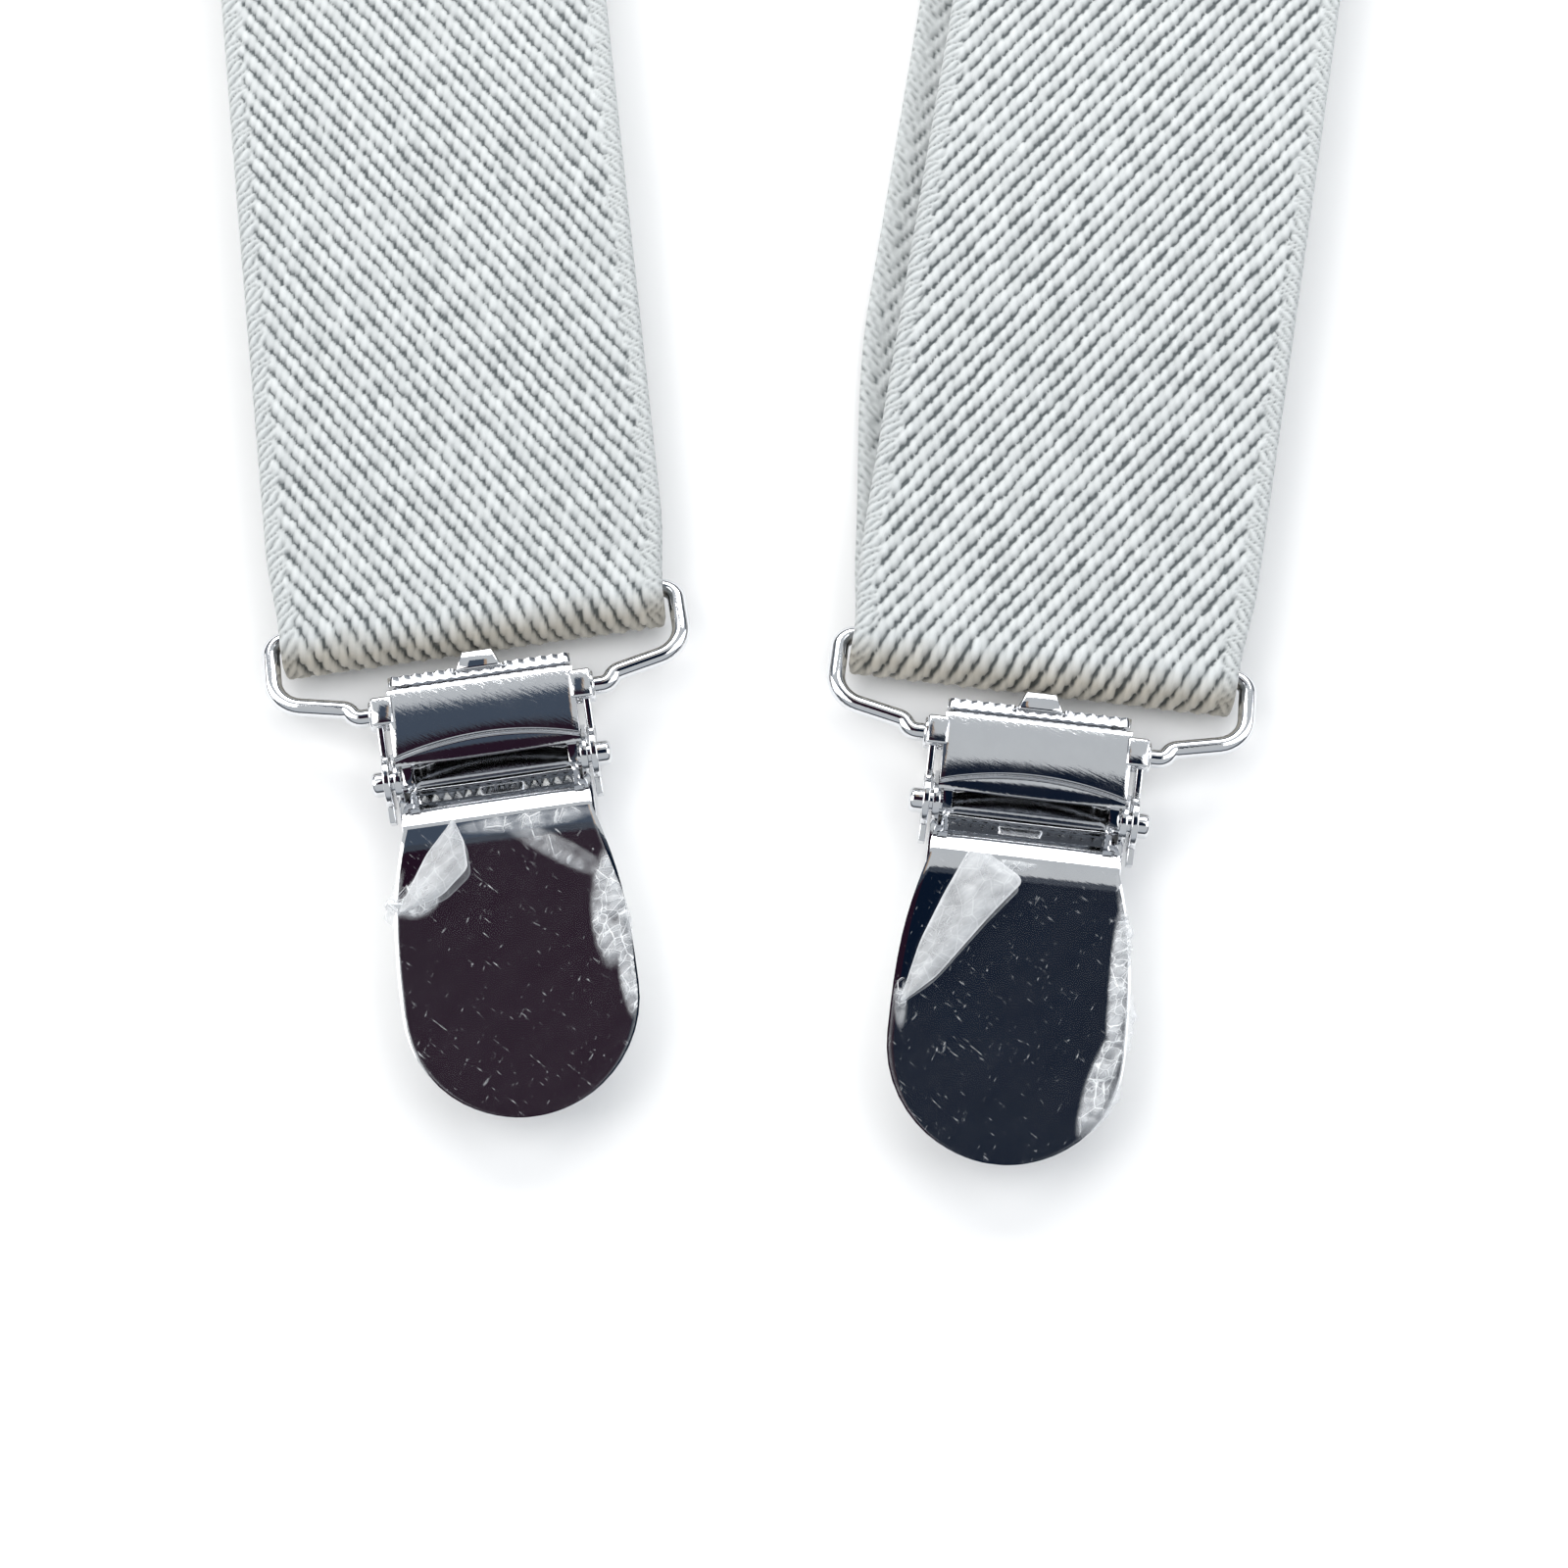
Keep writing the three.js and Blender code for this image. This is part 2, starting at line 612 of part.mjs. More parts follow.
  // sewn end of the strap, bent round the slide's centre bar
  sewnEnd() {
    const barMid = strapThickness + gap + slideSheet / 2;
    const bend = slideSheet / 2 + gap + strapThickness / 2;
    const reach = slideBar / 2 + gap;
    const half = Math.PI * bend / 2;
    const lower = slideEndLength + reach;
    const stations = [
      -half - lower, -half - 0.1,
      ...steps(-half, half, 8),
      half + 2 * reach, half + 2 * reach + 12,
    ];
    const place = (across, out, station) => {
      const x = across * strapWidth / 2;
      if (station < -half) {
        const spot = this.planPoint(x, slideDistance + reach + half + station);
        return new THREE.Vector3(spot.x, spot.y, barMid - bend - out);
      }
      if (station > half) {
        const spot = this.planPoint(x, slideDistance + reach + half - station);
        return new THREE.Vector3(spot.x, spot.y, barMid + bend + out);
      }
      const angle = station / bend;
      const radius = bend + out;
      const spot = this.planPoint(x, slideDistance + reach + radius * Math.cos(angle));
      return new THREE.Vector3(spot.x, spot.y, barMid + radius * Math.sin(angle));
    };
    return webbing(stations, place, 1);
  }

  // formed slide: the strap runs straight between its outer frame and its set-back centre bar
  slide() {
    const barLow = strapThickness + gap;
    const frameLow = runHeight + strapThickness / 2 + gap;
    const frameHigh = frameLow + slideSheet;
    const inner = strapWidth / 2 + 2 * gap;
    const outer = inner + slideBar;
    const outline = polygon([
      [-outer, -slideLength / 2 + 2], [-outer + 2, -slideLength / 2], [outer - 2, -slideLength / 2],
      [outer, -slideLength / 2 + 2], [outer, slideLength / 2 - 2], [outer - 2, slideLength / 2],
      [-outer + 2, slideLength / 2], [-outer, slideLength / 2 - 2],
    ]);
    const window = polygon([
      [-inner, -slideLength / 2 + slideBar], [inner, -slideLength / 2 + slideBar],
      [inner, slideLength / 2 - slideBar], [-inner, slideLength / 2 - slideBar],
    ]);
    const frame = plate(outline, frameLow, frameHigh).subtract(plate(window, frameLow - 1, frameHigh + 1));
    const post = (side) => block(
      [side > 0 ? inner : -inner - slideSheet, -slideBar / 2, barLow],
      [side > 0 ? inner + slideSheet : -inner, slideBar / 2, frameHigh - slideSheet / 2],
    );
    const barReach = inner + slideSheet / 2;
    const bar = block([-barReach, -slideBar / 2, barLow], [barReach, slideBar / 2, barLow + slideSheet]);
    const solid = joined(frame, bothSides(post), bar);
    const centre = this.planPoint(0, slideDistance);
    return solid.rotate([0, 0, this.clip.lean]).translate([centre.x, centre.y, 0]);
  }
}

// ---------------------------------------------------------------- back strap and patch
const backTop = new THREE.Vector2(patchCentre.x, patchCentre.y - 2.5);
const backClipHeight = leverFront;          // the back clip lies on its front face
const backBarZ = backClipHeight - barZ;
const backUp = new THREE.Vector2(-Math.sin(-backLean * degrees), Math.cos(-backLean * degrees));

function backStrapSolid() {
  const bar = backTop.clone().addScaledVector(backUp, -backStrapLength);
  const side = new THREE.Vector2(backUp.y, -backUp.x);
  const mainMid = backBarZ - foldMid;
  const returnMid = backBarZ + foldMid;
  const sewn = mainMid + strapThickness + gap;
  const place = (across, out, station) => {
    let ahead;
    let height;
    let half = strapWidth / 2;
    if (station >= halfFold) {
      ahead = station - halfFold;
      half = halfWidthAt(ahead);
      height = mainMid + (sewnMid - mainMid) * smooth((ahead - 40) / 30) - out;
    } else if (station > -halfFold) {
      const angle = station / foldMid;
      ahead = -(foldMid + out) * Math.cos(angle);
      height = backBarZ - (foldMid + out) * Math.sin(angle);
      half = foldWidth / 2;
    } else {
      ahead = -halfFold - station;
      half = halfWidthAt(ahead);
      height = returnMid + (sewn - returnMid) * smooth(ahead / 18) + out;
    }
    const spot = bar.clone().addScaledVector(backUp, ahead).addScaledVector(side, across * half);
    return new THREE.Vector3(spot.x, spot.y, height);
  };
  const stations = [
    -halfFold - backReturnLength, ...steps(-halfFold - 18, -halfFold, 6),
    ...steps(-halfFold, halfFold, 9).slice(1),
    ...steps(halfFold, halfFold + foldEase, 3).slice(1),
    ...steps(halfFold + 40, halfFold + 70, 5),
    halfFold + backStrapLength,
  ];
  return webbing(stations, place);
}

// shield-shaped leather, wide over the two back runs and narrow over the back strap
function patchSolid(low) {
  const top = patchCentre.y + patchLength / 2;
  const bottom = patchCentre.y - patchLength / 2;
  const wide = patchTopWidth / 2;
  const narrow = patchBottomWidth / 2;
  const foot = patchCorner / 2;
  const shape = new THREE.Shape();
  const x = (offset) => patchCentre.x + offset;
  shape.moveTo(x(-wide), top - patchCorner);
  shape.quadraticCurveTo(x(-wide), top, x(patchCorner - wide), top);
  shape.quadraticCurveTo(x(0), top - patchCorner / 2, x(wide - patchCorner), top);
  shape.quadraticCurveTo(x(wide), top, x(wide), top - patchCorner);
  shape.quadraticCurveTo(x(wide), bottom + patchCurve, x(narrow), bottom + foot);
  shape.quadraticCurveTo(x(narrow), bottom, x(narrow - foot), bottom);
  shape.lineTo(x(foot - narrow), bottom);
  shape.quadraticCurveTo(x(-narrow), bottom, x(-narrow), bottom + foot);
  shape.quadraticCurveTo(x(-wide), bottom + patchCurve, x(-wide), top - patchCorner);
  return plate(shape, low, low + patchThickness, 6);
}

// ---------------------------------------------------------------- assembly
const finishes = {
  webbing: { color: 0xc5cbcb, roughness: 0.85, metalness: 0 },
  steel: { color: 0xd8dade, roughness: 0.12, metalness: 1 },
  film: { color: 0xdfe4e8, roughness: 0.35, metalness: 0 },
  pad: { color: 0xd9dad4, roughness: 0.5, metalness: 0 },
  leather: { color: 0x1d1a19, roughness: 0.6, metalness: 0 },
};

function piece(name, manifold, finish) {
  const mesh = new THREE.Mesh(toGeometry(manifold), new THREE.MeshStandardMaterial(finish));
  mesh.name = name;
  return mesh;
}

function clipGroup(name) {
  const group = new THREE.Group();
  group.add(
    piece(`bail_${name}`, bailSolid(), finishes.steel),
    piece(`lever_${name}`, leverSolid(), finishes.steel),
    piece(`cover_${name}`, coverSolid(), finishes.steel),
    piece(`film_${name}`, filmSolid(), finishes.film),
    piece(`jaw_${name}`, jawSolid(), finishes.steel),
    piece(`grip_pad_${name}`, padSolid(), finishes.pad),
  );
  return group;
}

const layout = new THREE.Group();
for (const [name, clip] of [['left', leftClip], ['right', rightClip]]) {
  const side = new FrontSide(clip);
  const group = clipGroup(name);
  group.position.set(clip.x, clip.y, 0);
  group.rotation.z = clip.turn * degrees;
  layout.add(
    group,
    piece(`strap_loop_${name}`, side.loop(), finishes.webbing),
    piece(`shoulder_strap_${name}`, side.shoulderStrap(), finishes.webbing),
    piece(`strap_end_${name}`, side.sewnEnd(), finishes.webbing),
    piece(`slide_${name}`, side.slide(), finishes.steel),
  );
}

const backClip = clipGroup('back');
const backAxis = backTop.clone().addScaledVector(backUp, -backStrapLength - barY);
backClip.position.set(backAxis.x, backAxis.y, backClipHeight);
backClip.rotation.set(0, Math.PI, -backLean * degrees, 'ZYX');
layout.add(
  backClip,
  piece('back_strap', backStrapSolid(), finishes.webbing),
  piece('patch_outer', patchSolid(0), finishes.leather),
  piece('patch_lining', patchSolid(patchThickness + 2 * gap + strapThickness), finishes.leather),
);

// the origin is the middle of the base of the whole
const extent = new THREE.Box3().setFromObject(layout);
const middle = extent.getCenter(new THREE.Vector3());
layout.position.set(-middle.x, -middle.y, -extent.min.z);

const suspenders = new THREE.Group();
suspenders.add(layout);
suspenders.updateMatrixWorld(true);
export default suspenders;
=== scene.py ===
"""Clip suspenders: woven elastic webbing, chromed lever clips on wire bails, slides and a leather patch.

Every piece is made in the row frame, in metres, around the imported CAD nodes. Sizes written in
millimetres carry the suffix _mm or are fields of the sub-assembly that they belong to.
"""

import json
import logging
import math
from contextlib import contextmanager
from dataclasses import dataclass, field
from enum import Enum
from typing import Callable, Iterator, Sequence

import bpy
import numpy as np
from mathutils import Matrix, Vector


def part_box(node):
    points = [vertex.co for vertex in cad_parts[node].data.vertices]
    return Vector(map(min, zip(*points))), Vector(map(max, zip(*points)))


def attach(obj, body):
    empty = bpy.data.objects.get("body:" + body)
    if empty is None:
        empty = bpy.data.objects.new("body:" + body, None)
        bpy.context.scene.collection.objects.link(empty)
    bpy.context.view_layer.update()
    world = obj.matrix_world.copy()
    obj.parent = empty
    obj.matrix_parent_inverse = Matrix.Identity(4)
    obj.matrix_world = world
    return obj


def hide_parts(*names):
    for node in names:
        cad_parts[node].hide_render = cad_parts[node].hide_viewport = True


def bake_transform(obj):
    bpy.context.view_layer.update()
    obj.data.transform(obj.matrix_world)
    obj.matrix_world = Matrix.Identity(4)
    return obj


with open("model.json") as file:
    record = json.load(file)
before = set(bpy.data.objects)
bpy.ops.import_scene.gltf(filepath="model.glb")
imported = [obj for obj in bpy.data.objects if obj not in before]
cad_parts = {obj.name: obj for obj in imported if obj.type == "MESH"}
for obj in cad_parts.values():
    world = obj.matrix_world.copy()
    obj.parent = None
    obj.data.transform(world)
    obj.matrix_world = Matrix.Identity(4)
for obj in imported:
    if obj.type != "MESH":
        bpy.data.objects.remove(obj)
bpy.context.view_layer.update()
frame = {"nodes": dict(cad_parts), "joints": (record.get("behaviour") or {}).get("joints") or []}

log = logging.getLogger("suspenders")
logging.basicConfig(level=logging.INFO, format="%(name)s: %(message)s")

MM = 0.001
Point = tuple[float, float, float]


class Side(Enum):
    """The three clips of the suspenders."""

    LEFT = "left"
    RIGHT = "right"
    BACK = "back"


def smooth(value: float | np.ndarray) -> float | np.ndarray:
    """Smooth step of a value between 0 and 1."""
    bounded = np.clip(value, 0.0, 1.0)
    return bounded * bounded * (3.0 - 2.0 * bounded)


def joint(name: str) -> dict:
    """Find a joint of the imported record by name."""
    return next(entry for entry in frame["joints"] if entry["name"] == name)


# ------------------------------------------------------------------ finishes
def fill_ramp(node: bpy.types.Node, stops: Sequence[tuple[float, Point]]) -> None:
    """Set a colour ramp's stops.

    Args:
        node: the Color Ramp node.
        stops: pairs of position and colour.
    """
    elements = node.color_ramp.elements
    while len(elements) < len(stops):
        elements.new(0.5)
    for element, (position, colour) in zip(elements, stops):
        element.position = position
        element.color = (*colour, 1.0)


class Nodes:
    """A node tree under construction, with short ways to add and link nodes."""

    def __init__(self, name: str) -> None:
        """Start an empty material.

        Args:
            name: the material's name.
        """
        self.material = bpy.data.materials.new(name)
        self.material.use_nodes = True
        self.tree = self.material.node_tree
        self.tree.nodes.clear()
        output = self.tree.nodes.new("ShaderNodeOutputMaterial")
        self.shader = self.tree.nodes.new("ShaderNodeBsdfPrincipled")
        self.tree.links.new(self.shader.outputs[0], output.inputs["Surface"])

    def add(self, kind: str, **settings: object) -> bpy.types.Node:
        """Add a node.

        Args:
            kind: the node's type, without the ShaderNode prefix.
            **settings: attributes of the node.

        Returns:
            The new node.
        """
        node = self.tree.nodes.new("ShaderNode" + kind)
        for key, value in settings.items():
            setattr(node, key, value)
        return node

    def feed(self, socket: bpy.types.NodeSocket, value: object) -> None:
        """Link a socket to another socket, or give it a plain value.

        Args:
            socket: the input socket.
            value: an output socket, a number or a colour.
        """
        if isinstance(value, bpy.types.NodeSocket):
            self.tree.links.new(value, socket)
        else:
            socket.default_value = value

    def set(self, **values: object) -> None:
        """Feed the shader's sockets."""
        for key, value in values.items():
            self.feed(self.shader.inputs[key.replace("_", " ")], value)

    def math(self, operation: str, first: object, second: object = 0.0, clamp: bool = False) -> object:
        """Add a Math node.

        Args:
            operation: the node's operation.
            first: the first operand.
            second: the second operand.
            clamp: whether the result is kept between 0 and 1.

        Returns:
            The result's socket.
        """
        node = self.add("Math", operation=operation, use_clamp=clamp)
        self.feed(node.inputs[0], first)
        self.feed(node.inputs[1], second)
        return node.outputs[0]

    def ramp(self, factor: object, stops: Sequence[tuple[float, Point]]) -> object:
        """Add a colour ramp.

        Args:
            factor: what drives the ramp.
            stops: pairs of position and colour.

        Returns:
            The colour's socket.
        """
        node = self.add("ValToRGB")
        fill_ramp(node, stops)
        self.feed(node.inputs[0], factor)
        return node.outputs[0]

    def multiply(self, factor: object, first: object, second: object) -> object:
        """Multiply two colours.

        Args:
            factor: how much of the product is taken, from 0 to 1.
            first: the first colour.
            second: the second colour.

        Returns:
            The colour's socket.
        """
        node = self.add("Mix", data_type="RGBA", blend_type="MULTIPLY")
        for key, value in (("Factor", factor), ("A", first), ("B", second)):
            self.feed(node.inputs[key], value)
        return node.outputs["Result"]

    def mapping(self, source: object, scale: Point, turn: float = 0.0) -> object:
        """Scale and turn a coordinate.

        Args:
            source: the coordinate's socket.
            scale: the scale on each axis.
            turn: the turn about Z, in radians.

        Returns:
            The mapped coordinate's socket.
        """
        node = self.add("Mapping", vector_type="TEXTURE")
        self.feed(node.inputs["Vector"], source)
        node.inputs["Scale"].default_value = tuple(1.0 / factor for factor in scale)
        node.inputs["Rotation"].default_value = (0.0, 0.0, turn)
        return node.outputs[0]

    def place(self) -> object:
        """The Object coordinate's socket."""
        return self.add("TexCoord").outputs["Object"]

    def noise(self, source: object, scale: float, detail: float = 2.0, roughness: float = 0.5) -> object:
        """Add a Noise Texture.

        Args:
            source: the coordinate's socket.
            scale: the texture's scale.
            detail: how many octaves it has.
            roughness: how strong the fine octaves are.

        Returns:
            The factor's socket.
        """
        node = self.add("TexNoise")
        self.feed(node.inputs["Vector"], source)
        node.inputs["Scale"].default_value = scale
        node.inputs["Detail"].default_value = detail
        node.inputs["Roughness"].default_value = roughness
        return node.outputs[0]

    def creases(self, source: object, scale: float, width: float) -> object:
        """Add thin lines along the borders of Voronoi cells.

        Args:
            source: the coordinate's socket.
            scale: how many cells lie in a unit of the coordinate.
            width: the lines' width as a share of a cell.

        Returns:
            A socket that is 1 on the lines and 0 between them.
        """
        cells = self.add("TexVoronoi", feature="DISTANCE_TO_EDGE")
        self.feed(cells.inputs["Vector"], source)
        cells.inputs["Scale"].default_value = scale
        cells.inputs["Randomness"].default_value = 1.0
        return self.math("SUBTRACT", 1.0, self.math("DIVIDE", cells.outputs["Distance"], width), clamp=True)

    def bump(self, height: object, strength: float, distance: float, before: object = None) -> object:
        """Add a Bump node.

        Args:
            height: the height's socket.
            strength: the bump's strength.
            distance: the height's scale in metres.
            before: a normal that it builds on.

        Returns:
            The normal's socket.
        """
        node = self.add("Bump")
        node.inputs["Strength"].default_value = strength
        node.inputs["Distance"].default_value = distance
        self.feed(node.inputs["Height"], height)
        if before is not None:
            self.feed(node.inputs["Normal"], before)
        return node.outputs[0]


@dataclass(frozen=True)
class ChromeFinish:
    """Bright nickel-chrome plate with fine handling scratches and slight waviness."""

    name: str = "chrome"
    tint: Point = (0.80, 0.81, 0.83)
    roughness: float = 0.07
    wave: float = 0.05
    scratch_turn: float = 0.4
    smudge: float = 0.2
    scuff: float = 0.10

    def make(self) -> bpy.types.Material:
        """Build the material.

        Returns:
            The material.
        """
        nodes = Nodes(self.name)
        place = nodes.place()
        waviness = nodes.noise(place, 90.0, 2.0)
        fine = nodes.noise(nodes.mapping(place, (3000.0, 260.0, 800.0), self.scratch_turn), 1.0, 3.0, 0.65)
        crossed = nodes.noise(nodes.mapping(place, (420.0, 4200.0, 900.0), -0.5), 1.0, 3.0, 0.65)
        scuffs = nodes.math("MULTIPLY", fine, crossed)
        smudge = nodes.noise(place, 240.0, 4.0, 0.6)
        rough = nodes.math("ADD", self.roughness, nodes.math(
            "MULTIPLY", nodes.math("SUBTRACT", smudge, 0.5, clamp=True), self.smudge))
        colour = nodes.ramp(smudge, [(0.3, self.tint), (0.75, tuple(0.93 * part for part in self.tint))])
        normal = nodes.bump(scuffs, self.scuff, 0.00005)
        normal = nodes.bump(waviness, self.wave, 0.0004, normal)
        nodes.set(Base_Color=colour, Metallic=1.0, Roughness=rough, Normal=normal)
        return nodes.material


@dataclass(frozen=True)
class WebbingFinish:
    """Light cool grey twill elastic; the hollows between its warp floats carry painted shade."""

    name: str = "webbing"
    crest: Point = (0.70, 0.725, 0.725)
    hollow_shade: Point = (0.095, 0.11, 0.115)
    diagonal: float = 1.0
    pitch_mm: float = 0.49
    period_mm: float = 2.1
    # Reach and tint of the painted shade and painted warm reflection near the fold.
    fold_shade_mm: float = 3.3
    fold_shade_tint: Point = (0.80, 0.72, 0.62)
    modelled: bool = False

    def make(self) -> bpy.types.Material:
        """Build the material. A modelled weave reads its height from the Loft attribute.

        Returns:
            The material.
        """
        nodes = Nodes(self.name)
        weave = nodes.add("UVMap", uv_map="Weave").outputs[0]
        filaments = nodes.noise(nodes.mapping(weave, (9.0, 1.3, 1.0)), 1.0, 3.0, 0.7)
        if self.modelled:
            loft = nodes.add("Attribute", attribute_name="Loft").outputs["Fac"]
            normal = nodes.bump(filaments, 0.35, 0.00008)
        else:
            split = nodes.add("SeparateXYZ")
            nodes.feed(split.inputs[0], weave)
            column = nodes.math("DIVIDE", split.outputs[0], self.pitch_mm)
            row = nodes.math("ADD", nodes.math("DIVIDE", split.outputs[1], self.period_mm),
                             nodes.math("MULTIPLY", column, self.diagonal / 3.0))
            cell = nodes.add("CombineXYZ")
            nodes.feed(cell.inputs[0], column)
            nodes.feed(cell.inputs[1], row)
            float_cell = nodes.add("TexVoronoi", voronoi_dimensions="2D")
            nodes.feed(float_cell.inputs["Vector"], cell.outputs[0])
            float_cell.inputs["Scale"].default_value = 1.0
            float_cell.inputs["Randomness"].default_value = 0.12
            reach = nodes.math("MULTIPLY", float_cell.outputs["Distance"], 1.35)
            loft = nodes.math("SUBTRACT", 1.0, nodes.math("MULTIPLY", reach, reach), clamp=True)
            normal = nodes.bump(loft, 1.0, 0.00030)
            normal = nodes.bump(filaments, 0.3, 0.00008, normal)
        # Painted shade: the colour darkens from the yarn's crests into the hollows between the floats, driven
        # by the loft.
        shade = nodes.ramp(loft, [
            (0.0, self.hollow_shade),
            (0.45, tuple(0.45 * a + 0.55 * b for a, b in zip(self.hollow_shade, self.crest))),
            (1.0, self.crest),
        ])
        blotch = nodes.noise(nodes.mapping(weave, (0.25, 0.25, 1.0)), 1.0, 3.0)
        uneven = nodes.math("MULTIPLY", nodes.math("ADD", blotch, filaments), 0.5)
        dull = nodes.ramp(uneven, [(0.3, (0.92, 0.925, 0.93)), (0.7, (1.0, 1.0, 1.0))])
        colour = nodes.multiply(1.0, shade, dull)
        # Painted shade and painted warm reflection: the webbing turns darker and browner within a few
        # millimetres of its fold.
        if self.modelled:
            along = nodes.add("SeparateXYZ")
            nodes.feed(along.inputs[0], weave)
            reach = nodes.math("ADD", nodes.math("ABSOLUTE", along.outputs[1]),
                               nodes.math("MULTIPLY", blotch, 1.4))
            fold_shaded = nodes.math("DIVIDE", nodes.math("SUBTRACT", self.fold_shade_mm, reach), 1.3, clamp=True)
            colour = nodes.multiply(fold_shaded, colour, (*self.fold_shade_tint, 1.0))
        nodes.set(Base_Color=colour, Roughness=0.62, Normal=normal,
                  Sheen_Weight=0.25, Sheen_Roughness=0.4, Specular_IOR_Level=0.35)
        return nodes.material


@dataclass(frozen=True)
class FilmFinish:
    """Thin milky protective film, scuffed and slightly rippled."""

    name: str = "film"
    tint: Point = (0.84, 0.86, 0.88)

    def make(self) -> bpy.types.Material:
        """Build the material.

        Returns:
            The material.
        """
        nodes = Nodes(self.name)
        place = nodes.place()
        streak = nodes.noise(nodes.mapping(place, (260.0, 900.0, 300.0), 0.7), 1.0, 4.0, 0.6)
        cloud = nodes.noise(place, 150.0, 3.0)
        haze = nodes.add("Attribute", attribute_name="Haze").outputs["Fac"]
        fine = nodes.creases(nodes.mapping(place, (1.0, 1.6, 1.0), 0.5), 760.0, 0.05)
        coarse = nodes.creases(nodes.mapping(place, (1.5, 1.0, 1.0), -0.4), 420.0, 0.035)
        gate = nodes.math("MULTIPLY", nodes.math("SUBTRACT", cloud, 0.42, clamp=True), 5.0, clamp=True)
        lint = 0.0
        for scale, turn, floor in (((5200.0, 620.0, 900.0), 0.9, 0.685), ((4200.0, 800.0, 900.0), -0.5, 0.69),
                                   ((1500.0, 1400.0, 900.0), 0.2, 0.735)):
            strand = nodes.noise(nodes.mapping(place, scale, turn), 1.0, 2.0, 0.6)
            lint = nodes.math("ADD", lint, nodes.math(
                "MULTIPLY", nodes.math("SUBTRACT", strand, floor, clamp=True), 5.0), clamp=True)
        lines = nodes.math("ADD", nodes.math("MULTIPLY", fine, gate), coarse, clamp=True)
        lines = nodes.math("MULTIPLY", lines, nodes.add("Attribute", attribute_name="Crease").outputs["Fac"])
        milk = nodes.math("MULTIPLY", haze, nodes.math("ADD", 0.30, nodes.math("MULTIPLY", streak, 0.9)))
        cover = nodes.math("ADD", nodes.math("ADD", milk, lines, clamp=True),
                           nodes.math("MULTIPLY", lint, 0.40), clamp=True)
        normal = nodes.bump(cloud, 0.4, 0.0004)
        normal = nodes.bump(lines, 0.5, 0.0003, normal)
        nodes.set(Base_Color=(*self.tint, 1.0), Alpha=cover, Roughness=0.22, Normal=normal,
                  Specular_IOR_Level=0.6)
        return nodes.material


@dataclass(frozen=True)
class PlainFinish:
    """Leather, nylon or thread: a mottled colour with a fine relief."""

    name: str
    low: Point
    high: Point
    roughness: float = 0.5
    grain_scale: float = 900.0
    grain_depth_mm: float = 0.05
    cells: bool = False

    def make(self) -> bpy.types.Material:
        """Build the material.

        Returns:
            The material.
        """
        nodes = Nodes(self.name)
        place = nodes.place()
        tone = nodes.noise(place, 120.0, 4.0, 0.6)
        if self.cells:
            texture = nodes.add("TexVoronoi", feature="DISTANCE_TO_EDGE")
            nodes.feed(texture.inputs["Vector"], place)
            texture.inputs["Scale"].default_value = self.grain_scale
            grain = nodes.math("MINIMUM", texture.outputs["Distance"], 0.25)
        else:
            grain = nodes.noise(place, self.grain_scale, 3.0, 0.6)
        normal = nodes.bump(grain, 0.6, self.grain_depth_mm * MM * 4.0)
        rough = nodes.math("ADD", self.roughness, nodes.math("MULTIPLY", tone, 0.12))
        nodes.set(Base_Color=nodes.ramp(tone, [(0.3, self.low), (0.7, self.high)]), Roughness=rough,
                  Normal=normal)
        return nodes.material


class Palette:
    """The materials, each made once."""

    def __init__(self) -> None:
        """Build every finish."""
        self.chrome = ChromeFinish(scuff=0.3).make()
        self.mirror = ChromeFinish(name="mirror", roughness=0.035, wave=0.03, smudge=0.05, scuff=0.05).make()
        self.wire = ChromeFinish(name="wire", roughness=0.04, wave=0.03, scratch_turn=1.1).make()
        self.woven_down = WebbingFinish(name="woven_down", modelled=True).make()
        self.woven_up = WebbingFinish(name="woven_up", diagonal=-1.0, modelled=True).make()
        # The hollow colour of the plain twill is painted shade between its floats.
        plain = {"crest": (0.61, 0.635, 0.635), "hollow_shade": (0.08, 0.09, 0.095)}
        self.twill_down = WebbingFinish(name="twill_down", **plain).make()
        self.twill_up = WebbingFinish(name="twill_up", diagonal=-1.0, **plain).make()
        self.film = FilmFinish().make()
        self.nylon = PlainFinish("nylon", (0.74, 0.75, 0.71), (0.86, 0.87, 0.84), 0.42, 1400.0, 0.02).make()
        self.leather = PlainFinish("leather", (0.018, 0.016, 0.017), (0.045, 0.04, 0.04), 0.46, 900.0,
                                   0.08, cells=True).make()
        self.dark_thread = PlainFinish("dark_thread", (0.15, 0.145, 0.14), (0.25, 0.24, 0.23), 0.6,
                                       6000.0, 0.03).make()


# ------------------------------------------------------------------ shared making
def deselect() -> None:
    """Leave edit mode and clear the selection."""
    if bpy.context.mode != "OBJECT":
        bpy.ops.object.mode_set(mode="OBJECT")
    bpy.ops.object.select_all(action="DESELECT")


def link_new(name: str, data: bpy.types.ID) -> bpy.types.Object:
    """Make an object of a datablock and put it in the scene.

    Args:
        name: the object's name.
        data: its mesh, lamp or camera.

    Returns:
        The object.
    """
    thing = bpy.data.objects.new(name, data)
    bpy.context.scene.collection.objects.link(thing)
    return thing


def activate(thing: bpy.types.Object) -> None:
    """Select one object alone and make it active.

    Args:
        thing: the object.
    """
    deselect()
    thing.select_set(True)
    bpy.context.view_layer.objects.active = thing


def dress(thing: bpy.types.Object, material: bpy.types.Material) -> None:
    """Give an object one material.

    Args:
        thing: the object.
        material: its material.
    """
    if len(thing.material_slots) == 0:
        thing.data.materials.append(material)
    for entry in thing.material_slots:
        entry.material = material


def soften(thing: bpy.types.Object, degrees: float = 35.0) -> None:
    """Shade smooth, with edges sharper than the angle kept crisp."""
    activate(thing)
    bpy.ops.object.shade_smooth_by_angle(angle=math.radians(degrees))


